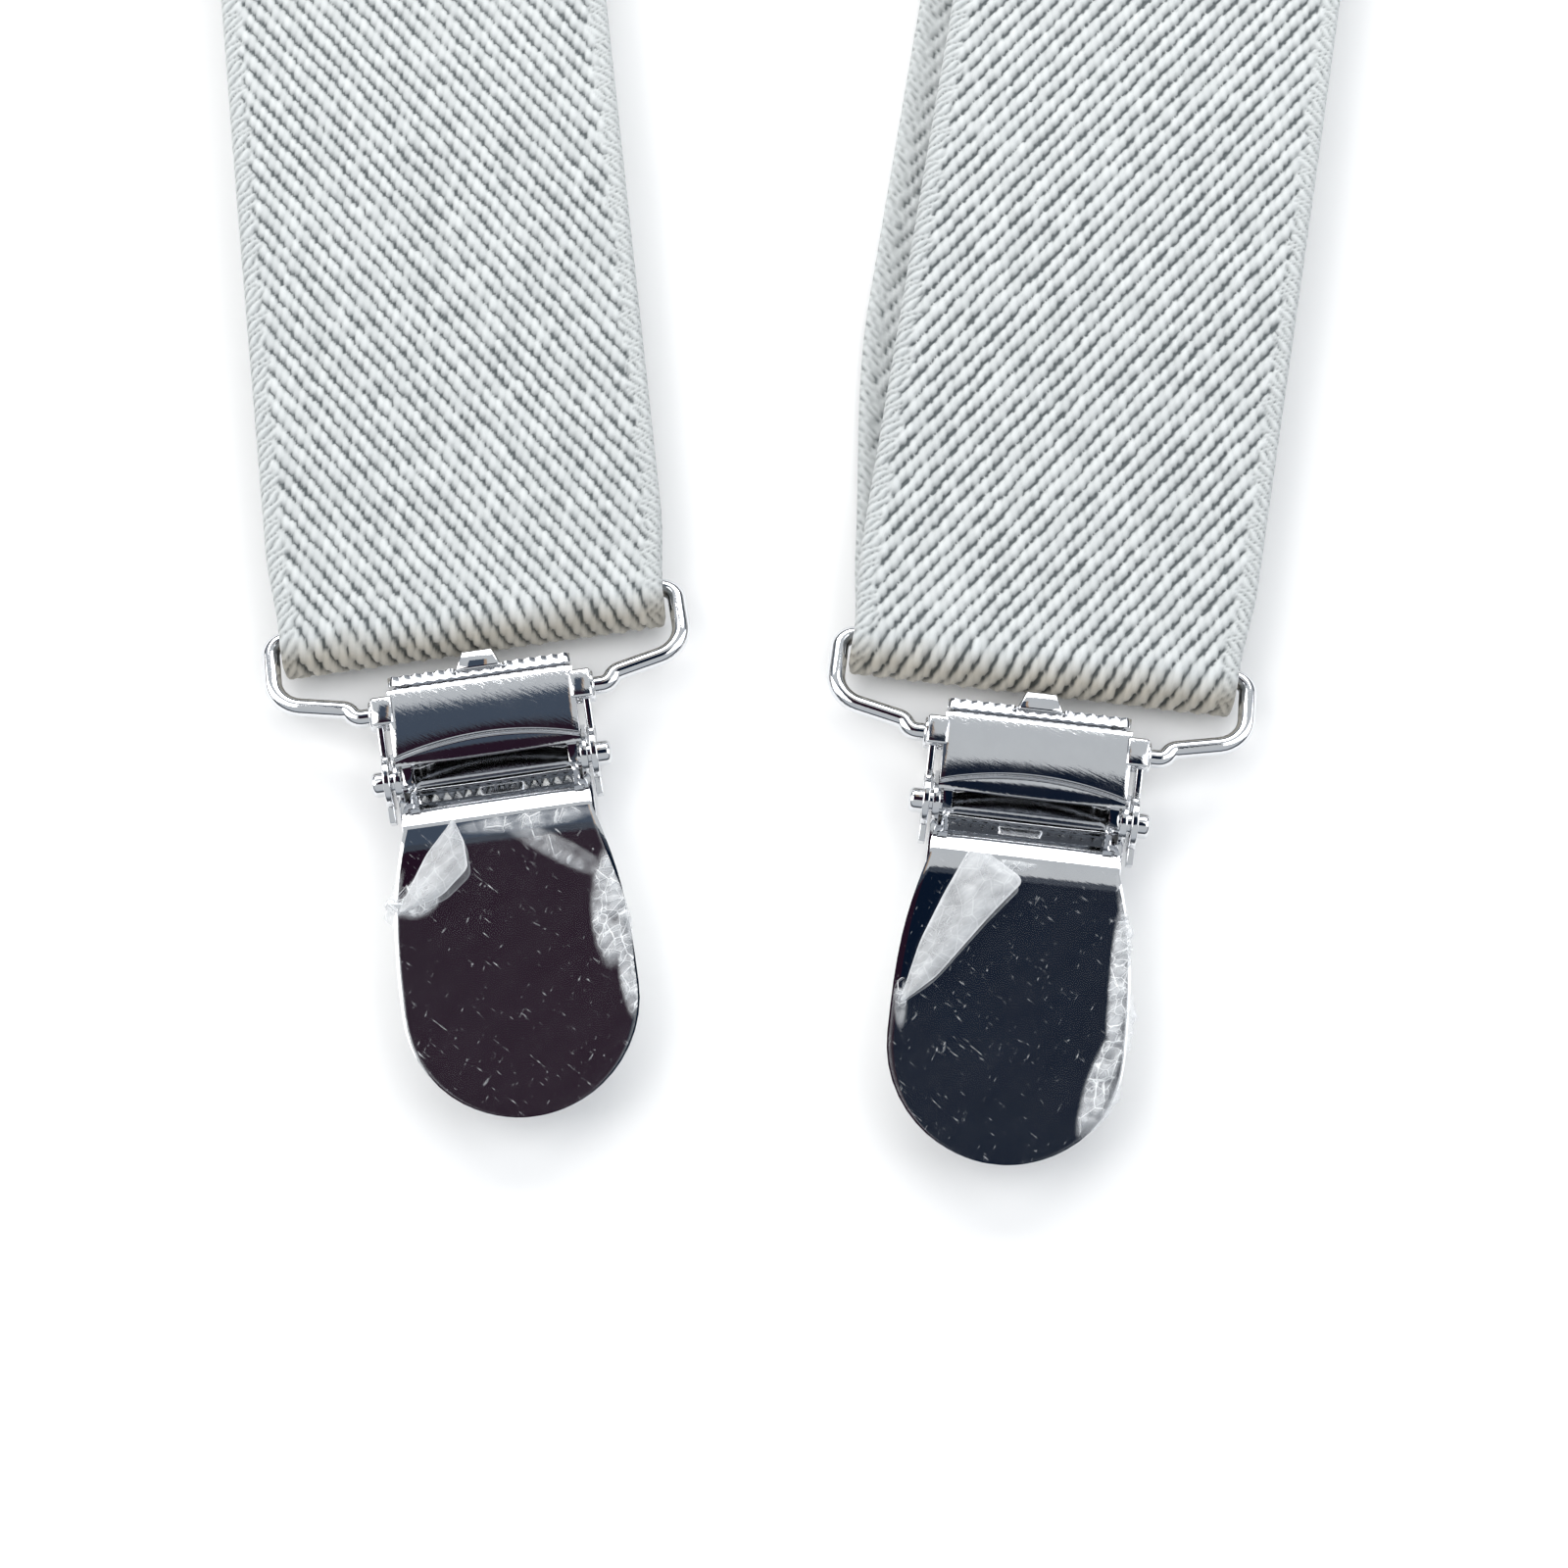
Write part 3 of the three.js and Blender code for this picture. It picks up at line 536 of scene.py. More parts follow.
def apply_modifier(thing: bpy.types.Object, kind: str, **settings: object) -> None:
    """Add a modifier and apply it.

    Args:
        thing: the object.
        kind: the modifier's type.
        **settings: its settings.
    """
    activate(thing)
    modifier = thing.modifiers.new(kind.title(), kind)
    for key, value in settings.items():
        setattr(modifier, key, value)
    bpy.ops.object.modifier_apply(modifier=modifier.name)


@contextmanager
def picked(piece: bpy.types.Object, test: Callable[[Vector], bool]) -> Iterator[None]:
    """Edit the active piece with only some of its vertices selected, then leave edit mode.

    Args:
        piece: the active object.
        test: says whether a vertex at a place is wanted.

    Yields:
        Nothing, in edit mode.
    """
    bpy.ops.object.mode_set(mode="EDIT")
    bpy.ops.mesh.select_mode(type="VERT")
    bpy.ops.mesh.select_all(action="DESELECT")
    bpy.ops.object.mode_set(mode="OBJECT")
    for vertex in piece.data.vertices:
        if test(vertex.co):
            vertex.select = True
    bpy.ops.object.mode_set(mode="EDIT")
    yield
    bpy.ops.object.mode_set(mode="OBJECT")


@contextmanager
def whole(piece: bpy.types.Object) -> Iterator[None]:
    """Edit a piece with all of it selected, then leave edit mode.

    Args:
        piece: the object.

    Yields:
        Nothing, in edit mode.
    """
    activate(piece)
    bpy.ops.object.mode_set(mode="EDIT")
    bpy.ops.mesh.select_all(action="SELECT")
    yield
    bpy.ops.object.mode_set(mode="OBJECT")


def push(offset: Point) -> None:
    """Extrude the selection and move the new part."""
    bpy.ops.mesh.extrude_region_move(TRANSFORM_OT_translate={"value": offset})


def stretch(factors: Point, centre: Point) -> None:
    """Resize the selection about a point."""
    bpy.ops.transform.resize(value=factors, center_override=centre)


def settle_normals() -> None:
    """Merge doubles and turn every face outwards, in edit mode."""
    bpy.ops.mesh.select_all(action="SELECT")
    bpy.ops.mesh.remove_doubles(threshold=0.002)
    bpy.ops.mesh.normals_make_consistent(inside=False)


def name_active(name: str) -> bpy.types.Object:
    """Name the primitive that was just added and apply its place.

    Args:
        name: the new name.

    Returns:
        The object.
    """
    thing = bpy.context.active_object
    thing.name = name
    bpy.ops.object.transform_apply(location=True, rotation=True, scale=True)
    return thing


def rod(name: str, radius: float, low: float, high: float, y: float, z: float,
        rim: float) -> bpy.types.Object:
    """Model a round rod along X with rounded rims.

    Args:
        name: the rod's name.
        radius: its radius.
        low: X of its lower end.
        high: X of its upper end.
        y: Y of its axis.
        z: Z of its axis.
        rim: the rounding of its rims.

    Returns:
        The rod.
    """
    deselect()
    bpy.ops.mesh.primitive_cylinder_add(
        vertices=36, radius=radius, depth=high - low, location=((low + high) / 2.0, y, z),
        rotation=(0.0, math.pi / 2.0, 0.0))
    thing = name_active(name)
    apply_modifier(thing, "BEVEL", width=rim, segments=4, limit_method="ANGLE",
                   angle_limit=math.radians(50.0))
    return thing


def bar(name: str, size: Point, centre: Point, tilt: float = 0.0, rim: float = 0.12,
        taper: tuple[float, float] | None = None) -> bpy.types.Object:
    """Model a flat bar with rounded edges.

    Args:
        name: the bar's name.
        size: its extent on each axis before it is tilted.
        centre: its middle.
        tilt: its turn about X, in radians.
        rim: the rounding of its edges.
        taper: factors on X and Z for its end at lower Y.

    Returns:
        The bar.
    """
    deselect()
    bpy.ops.mesh.primitive_cube_add(size=1.0)
    thing = bpy.context.active_object
    thing.scale = size
    thing = name_active(name)
    if taper is not None:
        with picked(thing, lambda place: place.y < 0.0):
            stretch((taper[0], 1.0, taper[1]), (0.0, 0.0, 0.0))
    thing.location = centre
    thing.rotation_euler = (tilt, 0.0, 0.0)
    activate(thing)
    bpy.ops.object.transform_apply(location=True, rotation=True, scale=True)
    apply_modifier(thing, "BEVEL", width=rim, segments=3, limit_method="ANGLE",
                   angle_limit=math.radians(35.0))
    return thing


def unite(pieces: Sequence[bpy.types.Object], name: str) -> bpy.types.Object:
    """Join pieces into one object.

    Args:
        pieces: the pieces, of which the first stays.
        name: the joined object's name.

    Returns:
        The joined object.
    """
    deselect()
    for piece in pieces:
        piece.select_set(True)
    bpy.context.view_layer.objects.active = pieces[0]
    if len(pieces) > 1:
        bpy.ops.object.join()
    pieces[0].name = name
    return pieces[0]


def mirrored(piece: bpy.types.Object) -> bpy.types.Object:
    """Copy a piece to the other side of the clip's middle.

    Args:
        piece: the piece.

    Returns:
        The copy, with its own mesh.
    """
    twin = link_new(piece.name + "_twin", piece.data.copy())
    with whole(twin):
        stretch((-1.0, 1.0, 1.0), (0.0, 0.0, 0.0))
        bpy.ops.mesh.normals_make_consistent(inside=False)
    return twin


@dataclass
class RefinedNode:
    """A CAD node's shape taken over with rounded edges, for pieces whose outline is already right."""

    node: str
    body: str
    slot: str
    bevel_mm: float = 0.12
    segments: int = 2

    def build(self, material: bpy.types.Material) -> bpy.types.Object:
        """Copy the node, merge its facets, round its edges and dress it.

        Args:
            material: the copy's material.

        Returns:
            The new piece.
        """
        source = frame["nodes"][self.node]
        piece = link_new(f"{self.node}_finished", source.data.copy())
        with whole(piece):
            bpy.ops.mesh.remove_doubles(threshold=0.00001)
            bpy.ops.mesh.customdata_custom_splitnormals_clear()
            bpy.ops.mesh.dissolve_limited(angle_limit=math.radians(1.0))
        if self.bevel_mm > 0.0:
            apply_modifier(piece, "BEVEL", width=self.bevel_mm * MM, segments=self.segments,
                           limit_method="ANGLE", angle_limit=math.radians(35.0), use_clamp_overlap=True)
        soften(piece, 40.0)
        piece.data.materials.clear()
        dress(piece, material)
        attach(piece, self.body)
        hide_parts(self.node)
        return piece


# ------------------------------------------------------------------ the clips' frames
@dataclass(frozen=True)
class ClipFrame:
    """Where a clip lies. Its own frame has X across, Y towards the webbing and Z out of its face."""

    side: Side
    knuckle_height_mm: float = 4.5

    @property
    def across(self) -> Vector:
        """The clip's X axis."""
        return Vector(joint(f"{self.side.value}_clip_swivel")["axis"]).normalized()

    @property
    def outward(self) -> Vector:
        """The clip's Z axis."""
        bar = Vector(joint(f"{self.side.value}_bail_swing")["pos_m"])
        knuckle = Vector(joint(f"{self.side.value}_clip_swivel")["pos_m"])
        return Vector((0.0, 0.0, math.copysign(1.0, self.across.cross(bar - knuckle).z)))

    @property
    def matrix(self) -> Matrix:
        """Clip frame in millimetres to row frame in metres."""
        across, outward = self.across, self.outward
        along = outward.cross(across)
        knuckle = Vector(joint(f"{self.side.value}_clip_swivel")["pos_m"])
        origin = knuckle - outward * self.knuckle_height_mm * MM
        turned = Matrix((across, along, outward)).transposed().to_4x4()
        return Matrix.Translation(origin) @ turned @ Matrix.Scale(MM, 4)


# ------------------------------------------------------------------ clips
@dataclass
class WireBail:
    """The bent wire that joins a clip to its webbing, modelled in its own plane."""

    radius: float = 0.8
    half: float = 18.0
    knuckle_end: float = 8.3
    jog_start: float = 10.45
    jog_rise: float = 1.15
    jog_angle: float = math.radians(62.0)
    spread: float = math.radians(13.0)
    corner: float = 2.9
    top_corner: float = 1.4
    reach: float = 8.8
    tilt: float = -math.atan2(2.0, 8.57)
    knuckle_height: float = 4.5

    def run(self, length: float) -> None:
        """Extrude the wire's open end straight ahead."""
        push((math.cos(self.heading) * length, math.sin(self.heading) * length, 0.0))
        self.spot += Vector((math.cos(self.heading), math.sin(self.heading))) * length

    def turn(self, angle: float, radius: float) -> None:
        """Spin the wire's open end round a bend.

        Args:
            angle: how far it turns, positive anticlockwise seen from +Z.
            radius: the bend's radius at the wire's middle.
        """
        side = math.copysign(1.0, angle)
        normal = Vector((-math.sin(self.heading), math.cos(self.heading))) * side
        centre = self.spot + normal * radius
        steps = max(3, round(abs(angle) / math.radians(9.0)))
        bpy.ops.mesh.spin(steps=steps, angle=-angle, center=(centre.x, centre.y, 0.0), axis=(0.0, 0.0, 1.0))
        self.heading += angle
        self.spot = centre - Vector((-math.sin(self.heading), math.cos(self.heading))) * side * radius

    def build(self, side: Side, palette: Palette) -> bpy.types.Object:
        """Bend the wire and put it in its clip's frame.

        Args:
            side: which clip it belongs to.
            palette: the materials.

        Returns:
            The bail.
        """
        deselect()
        self.spot = Vector((-self.knuckle_end, 0.0))
        self.heading = math.pi
        bpy.ops.mesh.primitive_circle_add(
            vertices=20, radius=self.radius, fill_type="NGON", location=(self.spot.x, 0.0, 0.0),
            rotation=(0.0, math.pi / 2.0, 0.0))
        wire = name_active(f"bail_wire_{side.value}")
        quarter = math.pi / 2.0
        jog_radius = self.jog_rise / (2.0 * (1.0 - math.cos(self.jog_angle)))
        with whole(wire):
            self.run(self.jog_start - self.knuckle_end)
            self.turn(-self.jog_angle, jog_radius)
            self.turn(self.jog_angle - self.spread, jog_radius)
            bend_start = self.half - self.corner * (1.0 - math.sin(self.spread))
            self.run((self.spot.x + bend_start) / math.cos(self.spread))
            self.turn(self.spread - quarter, self.corner)
            self.run(self.reach - self.spot.y - self.top_corner)
            self.turn(-quarter, self.top_corner)
            self.run(self.half - self.top_corner)
            settle_normals()
        with picked(wire, lambda place: place.x > -0.001):
            bpy.ops.mesh.delete(type="ONLY_FACE")
        wire = unite([wire, mirrored(wire)], wire.name)
        with whole(wire):
            settle_normals()
        apply_modifier(wire, "BEVEL", width=0.3, segments=3, limit_method="ANGLE",
                       angle_limit=math.radians(70.0))
        wire.rotation_euler = (self.tilt, 0.0, 0.0)
        wire.location = (0.0, 0.0, self.knuckle_height)
        activate(wire)
        bpy.ops.object.transform_apply(location=True, rotation=True, scale=True)
        return set_in_clip(wire, side, f"{side.value}_bail", f"bail_{side.value}", palette.wire, 50.0)


def set_in_clip(piece: bpy.types.Object, side: Side, body: str, node: str,
                material: bpy.types.Material, crease: float = 35.0) -> bpy.types.Object:
    """Move a piece from its clip's frame to the row frame, dress it, attach it to its body and hide the CAD
    node that it stands for.

    Args:
        piece: the piece, modelled in the clip's frame in millimetres.
        side: the clip.
        body: the body that it follows.
        node: the CAD node that it stands for.
        material: its material.
        crease: the angle above which its edges stay crisp, in degrees.

    Returns:
        The piece.
    """
    piece.data.transform(ClipFrame(side).matrix)
    soften(piece, crease)
    dress(piece, material)
    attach(piece, body)
    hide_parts(node)
    return piece


@dataclass
class Cover:
    """The oval cover: a bent sheet with a turned-up serrated edge, side flanges, pins and a tab."""

    sheet: float = 0.8
    half: float = 10.1
    bottom: float = -36.5
    face: float = 4.4
    teeth: int = 32
    flange_low: float = -6.6
    flange_high: float = -3.9
    pivot_y: float = -5.8
    pivot_z: float = 3.4
    pin: float = 1.1
    pin_tip: float = 10.45
    toothed_width: float = 16.0
    tooth_depth: float = 0.45
    flange_x: float = 7.2
    flange_height: float = 3.2
    flange_round: float = 1.3
    tab_size: Point = (4.0, 1.9, 0.8)
    tab_middle: Point = (0.0, 3.85, 4.2)
    tab_tilt: float = -0.16
    tab_taper: float = 0.72
    crown_top: float = -15.5
    crown: tuple = ((0.5, 0.012), (1.1, 0.012), (1.9, 0.012), (3.0, 0.012), (4.4, 0.012), (6.2, 0.01))
    round_degrees: tuple = (8, 16, 24, 32, 40, 47, 54, 60, 66, 71, 76, 80, 84, 87)
    profile: tuple = (
        (-24.0, 4.40, 10.1), (-22.0, 4.40, 10.06), (-20.0, 4.40, 9.96), (-18.0, 4.40, 9.78),
        (-16.5, 4.40, 9.57), (-15.0, 4.39, 9.3), (-13.6, 4.36, 8.99), (-12.4, 4.31, 8.69),
        (-11.4, 4.24, 8.42), (-10.6, 4.14, 8.2),
        (-10.2, 4.05, 8.2), (-9.85, 3.94, 8.2), (-9.5, 3.80, 8.2), (-9.1, 3.62, 8.15), (-8.7, 3.40, 8.05),
        (-8.2, 3.06, 7.9), (-7.45, 2.50, 7.6), (-6.95, 2.18, 7.35), (-6.6, 2.04, 7.2), (-6.2, 2.0, 7.2),
        (-3.9, 2.0, 7.2),
        (1.9, 2.0, 7.6), (2.35, 2.06, 7.9), (2.7, 2.25, 8.0), (2.93, 2.6, 8.0), (3.0, 3.0, 8.0),
        (3.0, 4.45, 8.0))

    def rows(self, plate: bpy.types.Object, upwards: bool, rows: Sequence[Point]) -> None:
        """Extrude the open end of the plate row by row.

        Args:
            plate: the plate in hand, as wide as the first row's half at its end.
            upwards: whether the end with the highest Y is drawn, or the one with the lowest.
            rows: Y, Z and half width of each row; the first is where the end lies now.
        """
        start = rows[0]
        with picked(plate, lambda place: place.y > start[0] - 0.01 if upwards else place.y < start[0] + 0.01):
            for last, (y, z, half) in zip(rows[:-1], rows[1:]):
                push((0.0, y - last[0], z - last[1]))
                stretch((half / last[2], 1.0, 1.0), (0.0, y, z))

    def face_sheet(self, name: str) -> bpy.types.Object:
        """Model the bent sheet in one run of rows, from the round lower end to the turned-up edge.

        Args:
            name: the piece's name.

        Returns:
            The sheet, without thickness yet.
        """
        centre = self.bottom + self.half
        start_y, _, start_half = self.profile[0]
        deselect()
        bpy.ops.mesh.primitive_grid_add(x_subdivisions=self.teeth, y_subdivisions=1, size=1.0)
        grid = bpy.context.active_object
        grid.scale = (2.0 * self.half, start_y - centre, 1.0)
        grid.location = (0.0, (start_y + centre) / 2.0, self.face)
        plate = name_active(name)
        self.rows(plate, True, [(start_y, self.face, start_half), *self.profile[1:]])
        rounds = [(centre, self.face, self.half)]
        for degrees in self.round_degrees:
            angle = math.radians(degrees)
            rounds.append((centre - self.half * math.sin(angle), self.face, self.half * math.cos(angle)))
        self.rows(plate, False, rounds)
        for inset, lift in self.crown:
            reach = self.half - inset
            with picked(plate, lambda place: place.y < self.crown_top
                        and math.hypot(place.x, min(0.0, place.y - centre)) < reach):
                bpy.ops.transform.translate(value=(0.0, 0.0, lift))
        return plate

    def build(self, side: Side, palette: Palette) -> bpy.types.Object:
        """Model the cover.

        Args:
            side: which clip it belongs to.
            palette: the materials.

        Returns:
            The cover.
        """
        plate = self.face_sheet(f"cover_plate_{side.value}")
        tip_y, tip_z, _ = self.profile[-1]
        spacing = self.toothed_width / self.teeth
        with picked(plate, lambda place: place.z > tip_z - 0.01 and abs(place.y - tip_y) < 0.01
                    and round(place.x / spacing) % 2 == 0):
            bpy.ops.transform.translate(value=(0.0, 0.0, -self.tooth_depth))
        with picked(plate, lambda place: abs(abs(place.x) - self.flange_x) < 0.01
                    and self.flange_low - 0.01 < place.y < self.flange_high + 0.01):
            push((0.0, 0.0, self.flange_height))
            bpy.ops.mesh.bevel(offset=self.flange_round, segments=5, affect="VERTICES")
            settle_normals()
        apply_modifier(plate, "SOLIDIFY", thickness=self.sheet, offset=0.0, use_even_offset=True)
        apply_modifier(plate, "BEVEL", width=0.09, segments=3, limit_method="ANGLE",
                       angle_limit=math.radians(38.0))
        right_pin = rod("pin", self.pin, 7.1, self.pin_tip, self.pivot_y, self.pivot_z, 0.42)
        tab = bar("tab", self.tab_size, self.tab_middle, self.tab_tilt, 0.3)
        with picked(tab, lambda place: place.y > self.tab_middle[1] + 0.05):
            stretch((self.tab_taper, 1.0, 1.0), (0.0, 4.8, self.tab_middle[2]))
        plate = unite([plate, right_pin, mirrored(right_pin), tab], plate.name)
        return set_in_clip(plate, side, f"{side.value}_cover", f"cover_{side.value}", palette.mirror)


@dataclass
class Lever:
    """The lever: an arched web between two ears, with curled knuckles for the wire."""

    sheet: float = 0.8
    half: float = 8.1
    top: float = 1.4
    bottom: float = -4.2
    arch: float = 1.25
    middle: float = 5.5
    lean: float = math.radians(-7.0)
    ear_in: float = 8.7
    ear_out: float = 9.3
    ear_radius: float = 2.5
    ear_tip: float = 3.7
    pivot_y: float = -5.8
    pivot_z: float = 3.4
    knuckle_radius: float = 1.4
    knuckle_z: float = 4.5
    knuckle_in: float = 8.0
    knuckle_out: float = 9.85
    neck_size: tuple[float, float] = (5.6, 2.3)
    shoulder_size: Point = (2.0, 2.7, 1.2)
    columns: int = 24

    def web(self) -> bpy.types.Object:
        """Model the web, with its arched lower edge turned in.

        Returns:
            The web.
        """
        deselect()
        bpy.ops.mesh.primitive_grid_add(x_subdivisions=self.columns, y_subdivisions=2, size=1.0)
        grid = bpy.context.active_object
        grid.scale = (2.0 * self.half, self.top - self.bottom, 1.0)
        grid.location = (0.0, (self.top + self.bottom) / 2.0, 0.0)
        web = name_active("web")
        for step in range(1, self.columns):
            share = step / self.columns
            spot = (2.0 * share - 1.0) * self.half
            with picked(web, lambda place: abs(place.x - spot) < 0.05 and place.y < self.bottom + 0.01):
                bpy.ops.transform.translate(value=(0.0, 4.0 * self.arch * share * (1.0 - share), 0.0))
        web.rotation_euler = (self.lean, 0.0, 0.0)
        web.location = (0.0, 0.0, self.middle)
        activate(web)
        bpy.ops.object.transform_apply(location=True, rotation=True, scale=True)
        limit = self.bottom + self.arch + 0.1
        with picked(web, lambda place: place.y < limit):
            for along, inward in ((-0.09, -0.10), (-0.06, -0.36), (-0.10, -0.10), (-0.25, 0.0)):
                push((0.0, along, inward))
            stretch((1.0, 0.0, 1.0), (0.0, self.bottom - 0.75, 0.0))
            stretch((1.0, 1.0, 0.25), (0.0, self.bottom, self.middle - 0.22))
        with picked(web, lambda place: place.y > self.top - 0.06):
            push((0.0, 0.22, -0.08))
            push((0.0, 0.13, -0.22))
            settle_normals()
        apply_modifier(web, "SOLIDIFY", thickness=self.sheet * 0.8, offset=0.0, use_even_offset=True)
        apply_modifier(web, "BEVEL", width=0.1, segments=2, limit_method="ANGLE",
                       angle_limit=math.radians(40.0))
        return web

    def build(self, side: Side, palette: Palette) -> bpy.types.Object:
        """Model the lever.

        Args:
            side: which clip it belongs to.
            palette: the materials.

        Returns:
            The lever.
        """
        wall = self.ear_out - self.ear_in
        ear_x = (self.ear_in + self.ear_out) / 2.0
        rise = math.atan2(self.knuckle_z - self.pivot_z, -self.pivot_y)
        disc = rod("ear", self.ear_radius, self.ear_in, self.ear_out, self.pivot_y, self.pivot_z, 0.12)
        neck_z = (self.pivot_z + self.knuckle_z) / 2.0
        neck = bar("neck", (wall, *self.neck_size), (ear_x, self.pivot_y / 2.0, neck_z), rise)
        tip = bar("tip", (wall, self.ear_tip, 2.8), (ear_x, self.pivot_y - self.ear_tip / 2.0, self.pivot_z),
                  0.0, 0.12, (1.0, 0.45))
        knuckle = rod("knuckle", self.knuckle_radius, self.knuckle_in, self.knuckle_out, 0.0,
                      self.knuckle_z, 0.22)
        shoulder = bar("shoulder", self.shoulder_size, (self.half + 0.55, 0.05, self.knuckle_z + 0.85),
                       -0.12, 0.3)
        right = unite([disc, neck, tip, knuckle, shoulder], "ear")
        lever = unite([self.web(), right, mirrored(right)], f"lever_web_{side.value}")
        return set_in_clip(lever, side, f"{side.value}_lever", f"lever_{side.value}", palette.chrome)


@dataclass
class Film:
    """Protective film on a cover's face, lifted and folded over at one corner, crumpled along one edge."""

    half: float = 9.95
    top: float = -10.5
    bottom: float = -36.35
    rest: float = 4.95
    thickness: float = 0.05
    grid: tuple[int, int] = (170, 130)
    flap_grid: tuple[int, int] = (60, 36)
    folds: dict = field(default_factory=lambda: {
        Side.LEFT: (((-3.97, -10.3), (-6.4, -12.9), (-8.1, -15.5), (-9.4, -17.6)),
                    ((-3.7, -10.3), (-3.0, -12.4), (-2.95, -14.8), (-5.4, -16.8), (-9.2, -17.7)), 1.1),
        Side.RIGHT: (((-4.85, -9.9), (-6.6, -14.0), (-8.2, -18.4), (-9.35, -23.8)),
                     ((-3.9, -9.9), (0.08, -12.3), (-2.5, -15.6), (-6.5, -21.4), (-9.25, -23.9)), 1.3),
        Side.BACK: (((-4.5, -11.0), (-6.8, -14.5), (-8.6, -18.0)),
                    ((-4.2, -11.0), (-1.5, -13.5), (-4.0, -16.5), (-8.5, -18.1)), 1.2)})
    clouded: dict = field(default_factory=lambda: {
        Side.LEFT: ((8.6, -19.6, 1.5, 4.6, -0.12, 0.46), (9.4, -25.5, 0.8, 3.6, 0.0, 0.4),
                    (4.6, -13.8, 5.2, 1.0, -0.62, 0.18), (2.6, -11.0, 5.4, 0.8, 0.0, 0.30),
                    (-7.6, -16.5, 2.0, 1.5, 0.4, 0.35)),
        Side.RIGHT: ((-0.6, -10.6, 1.6, 0.7, 0.2, 0.5), (8.9, -19.0, 0.7, 7.0, 0.0, 0.55),
                     (8.2, -28.5, 1.0, 4.5, -0.25, 0.45), (-9.3, -23.6, 0.5, 2.2, 0.1, 0.3)),
        Side.BACK: ((8.4, -18.0, 1.5, 4.5, -0.1, 0.6), (3.0, -11.2, 5.0, 0.8, 0.0, 0.4))})
    spills: dict = field(default_factory=lambda: {
        Side.LEFT: ((-1.0, -16.8, 3.2, 1.4), (1.0, -21.0, 4.0, 0.25)),
        Side.RIGHT: ((1.0, -15.5, 4.0, 0.75), (1.0, -23.5, 4.5, 0.95), (1.0, -30.5, 4.0, 0.7)),
        Side.BACK: ((1.0, -19.0, 4.0, 0.6),)})
    looseness: dict = field(default_factory=lambda: {Side.LEFT: 1.0, Side.RIGHT: 1.0, Side.BACK: 0.1})

    def side_half(self, y: np.ndarray) -> np.ndarray:
        """Half of the film's width.

        Args:
            y: places along the clip, in millimetres.

        Returns:
            The half widths.
        """
        centre = self.bottom + self.half
        round_end = np.sqrt(np.clip(self.half ** 2 - np.clip(centre - y, 0.0, self.half) ** 2, 0.0, None))
        narrowing = (self.half - 8.05) * smooth((y + 21.0) / 11.5)
        return np.where(y < centre, round_end, self.half - narrowing)

    def level(self, y: np.ndarray) -> np.ndarray:
        """Height of the film where it lies on the cover, whose face dips towards its bend."""
        return self.rest - 0.30 * np.clip((y + 14.5) / 4.0, 0.0, 1.2) ** 2

    @staticmethod
    def run_along(points: Sequence[tuple[float, float]], share: np.ndarray) -> np.ndarray:
        """Points on a smoothed line.

        Args:
            points: the line's corners.
            share: shares of the way along it.

        Returns:
            The points, with X and Y last.
        """
        corners = np.array(points)
        knots = np.linspace(0.0, 1.0, len(corners))
        blurred = [np.stack([np.interp(np.clip(share + shift, 0.0, 1.0), knots, corners[:, axis])
                             for axis in (0, 1)], -1) for shift in (-0.04, -0.02, 0.0, 0.02, 0.04)]
        return sum(blurred) / len(blurred)

    @staticmethod
    def left_of(points: Sequence[tuple[float, float]], x: np.ndarray, y: np.ndarray) -> np.ndarray:
        """Mask of the places where the film was lifted off, left of a fold.

        Args:
            points: the fold's line, from the clip's top down.
            x: millimetres across.
            y: millimetres along.

        Returns:
            1 where there is no film, 0 elsewhere.
        """
        corners = np.array(points)[::-1]
        line = np.interp(y, corners[:, 1], corners[:, 0])
        return smooth((line - 0.1 - x) / 0.15) * (y > corners[0, 1] + 1.2)

    @staticmethod
    def crinkle(x: np.ndarray, y: np.ndarray, seed: float) -> np.ndarray:
        """Sharp ridged relief of crumpled film.

        Args:
            x: millimetres across.
            y: millimetres along.
            seed: chooses the pattern.

        Returns:
            The relief, from 0 to about 1.
        """
        total = np.zeros_like(x)
        for index in range(5):
            turn = seed + index * 1.9
            wave = x * math.cos(turn) + y * math.sin(turn) + 0.5 * np.sin(0.9 * y + index)
            total += np.abs(np.sin(wave * (1.1 + 0.55 * index))) / (1.0 + 0.5 * index)
        return total / 2.6

    @staticmethod
    def sheet_mesh(name: str, points: np.ndarray, haze: np.ndarray, crease: np.ndarray) -> bpy.types.Object:
        """Make a grid of points a thin sheet.

        Args:
            name: its name.
            points: rows of points in the clip's frame.
            haze: how milky each point is, from 0 to 1.
            crease: how strong the white crease lines are, from 0 to 1.

        Returns:
            The sheet.
        """
        rows, columns = points.shape[:2]
        index = np.arange(rows * columns).reshape(rows, columns)
        quads = np.stack([index[:-1, :-1], index[:-1, 1:], index[1:, 1:], index[1:, :-1]], -1).reshape(-1, 4)
        mesh = bpy.data.meshes.new(name)
        mesh.from_pydata(points.reshape(-1, 3).tolist(), [], quads.tolist())
        for key, values in (("Haze", haze), ("Crease", crease)):
            layer = mesh.attributes.new(key, "FLOAT", "POINT")
            layer.data.foreach_set("value", values.reshape(-1).astype(np.float32))
        piece = link_new(name, mesh)
        activate(piece)
        bpy.ops.object.shade_smooth()
        return piece

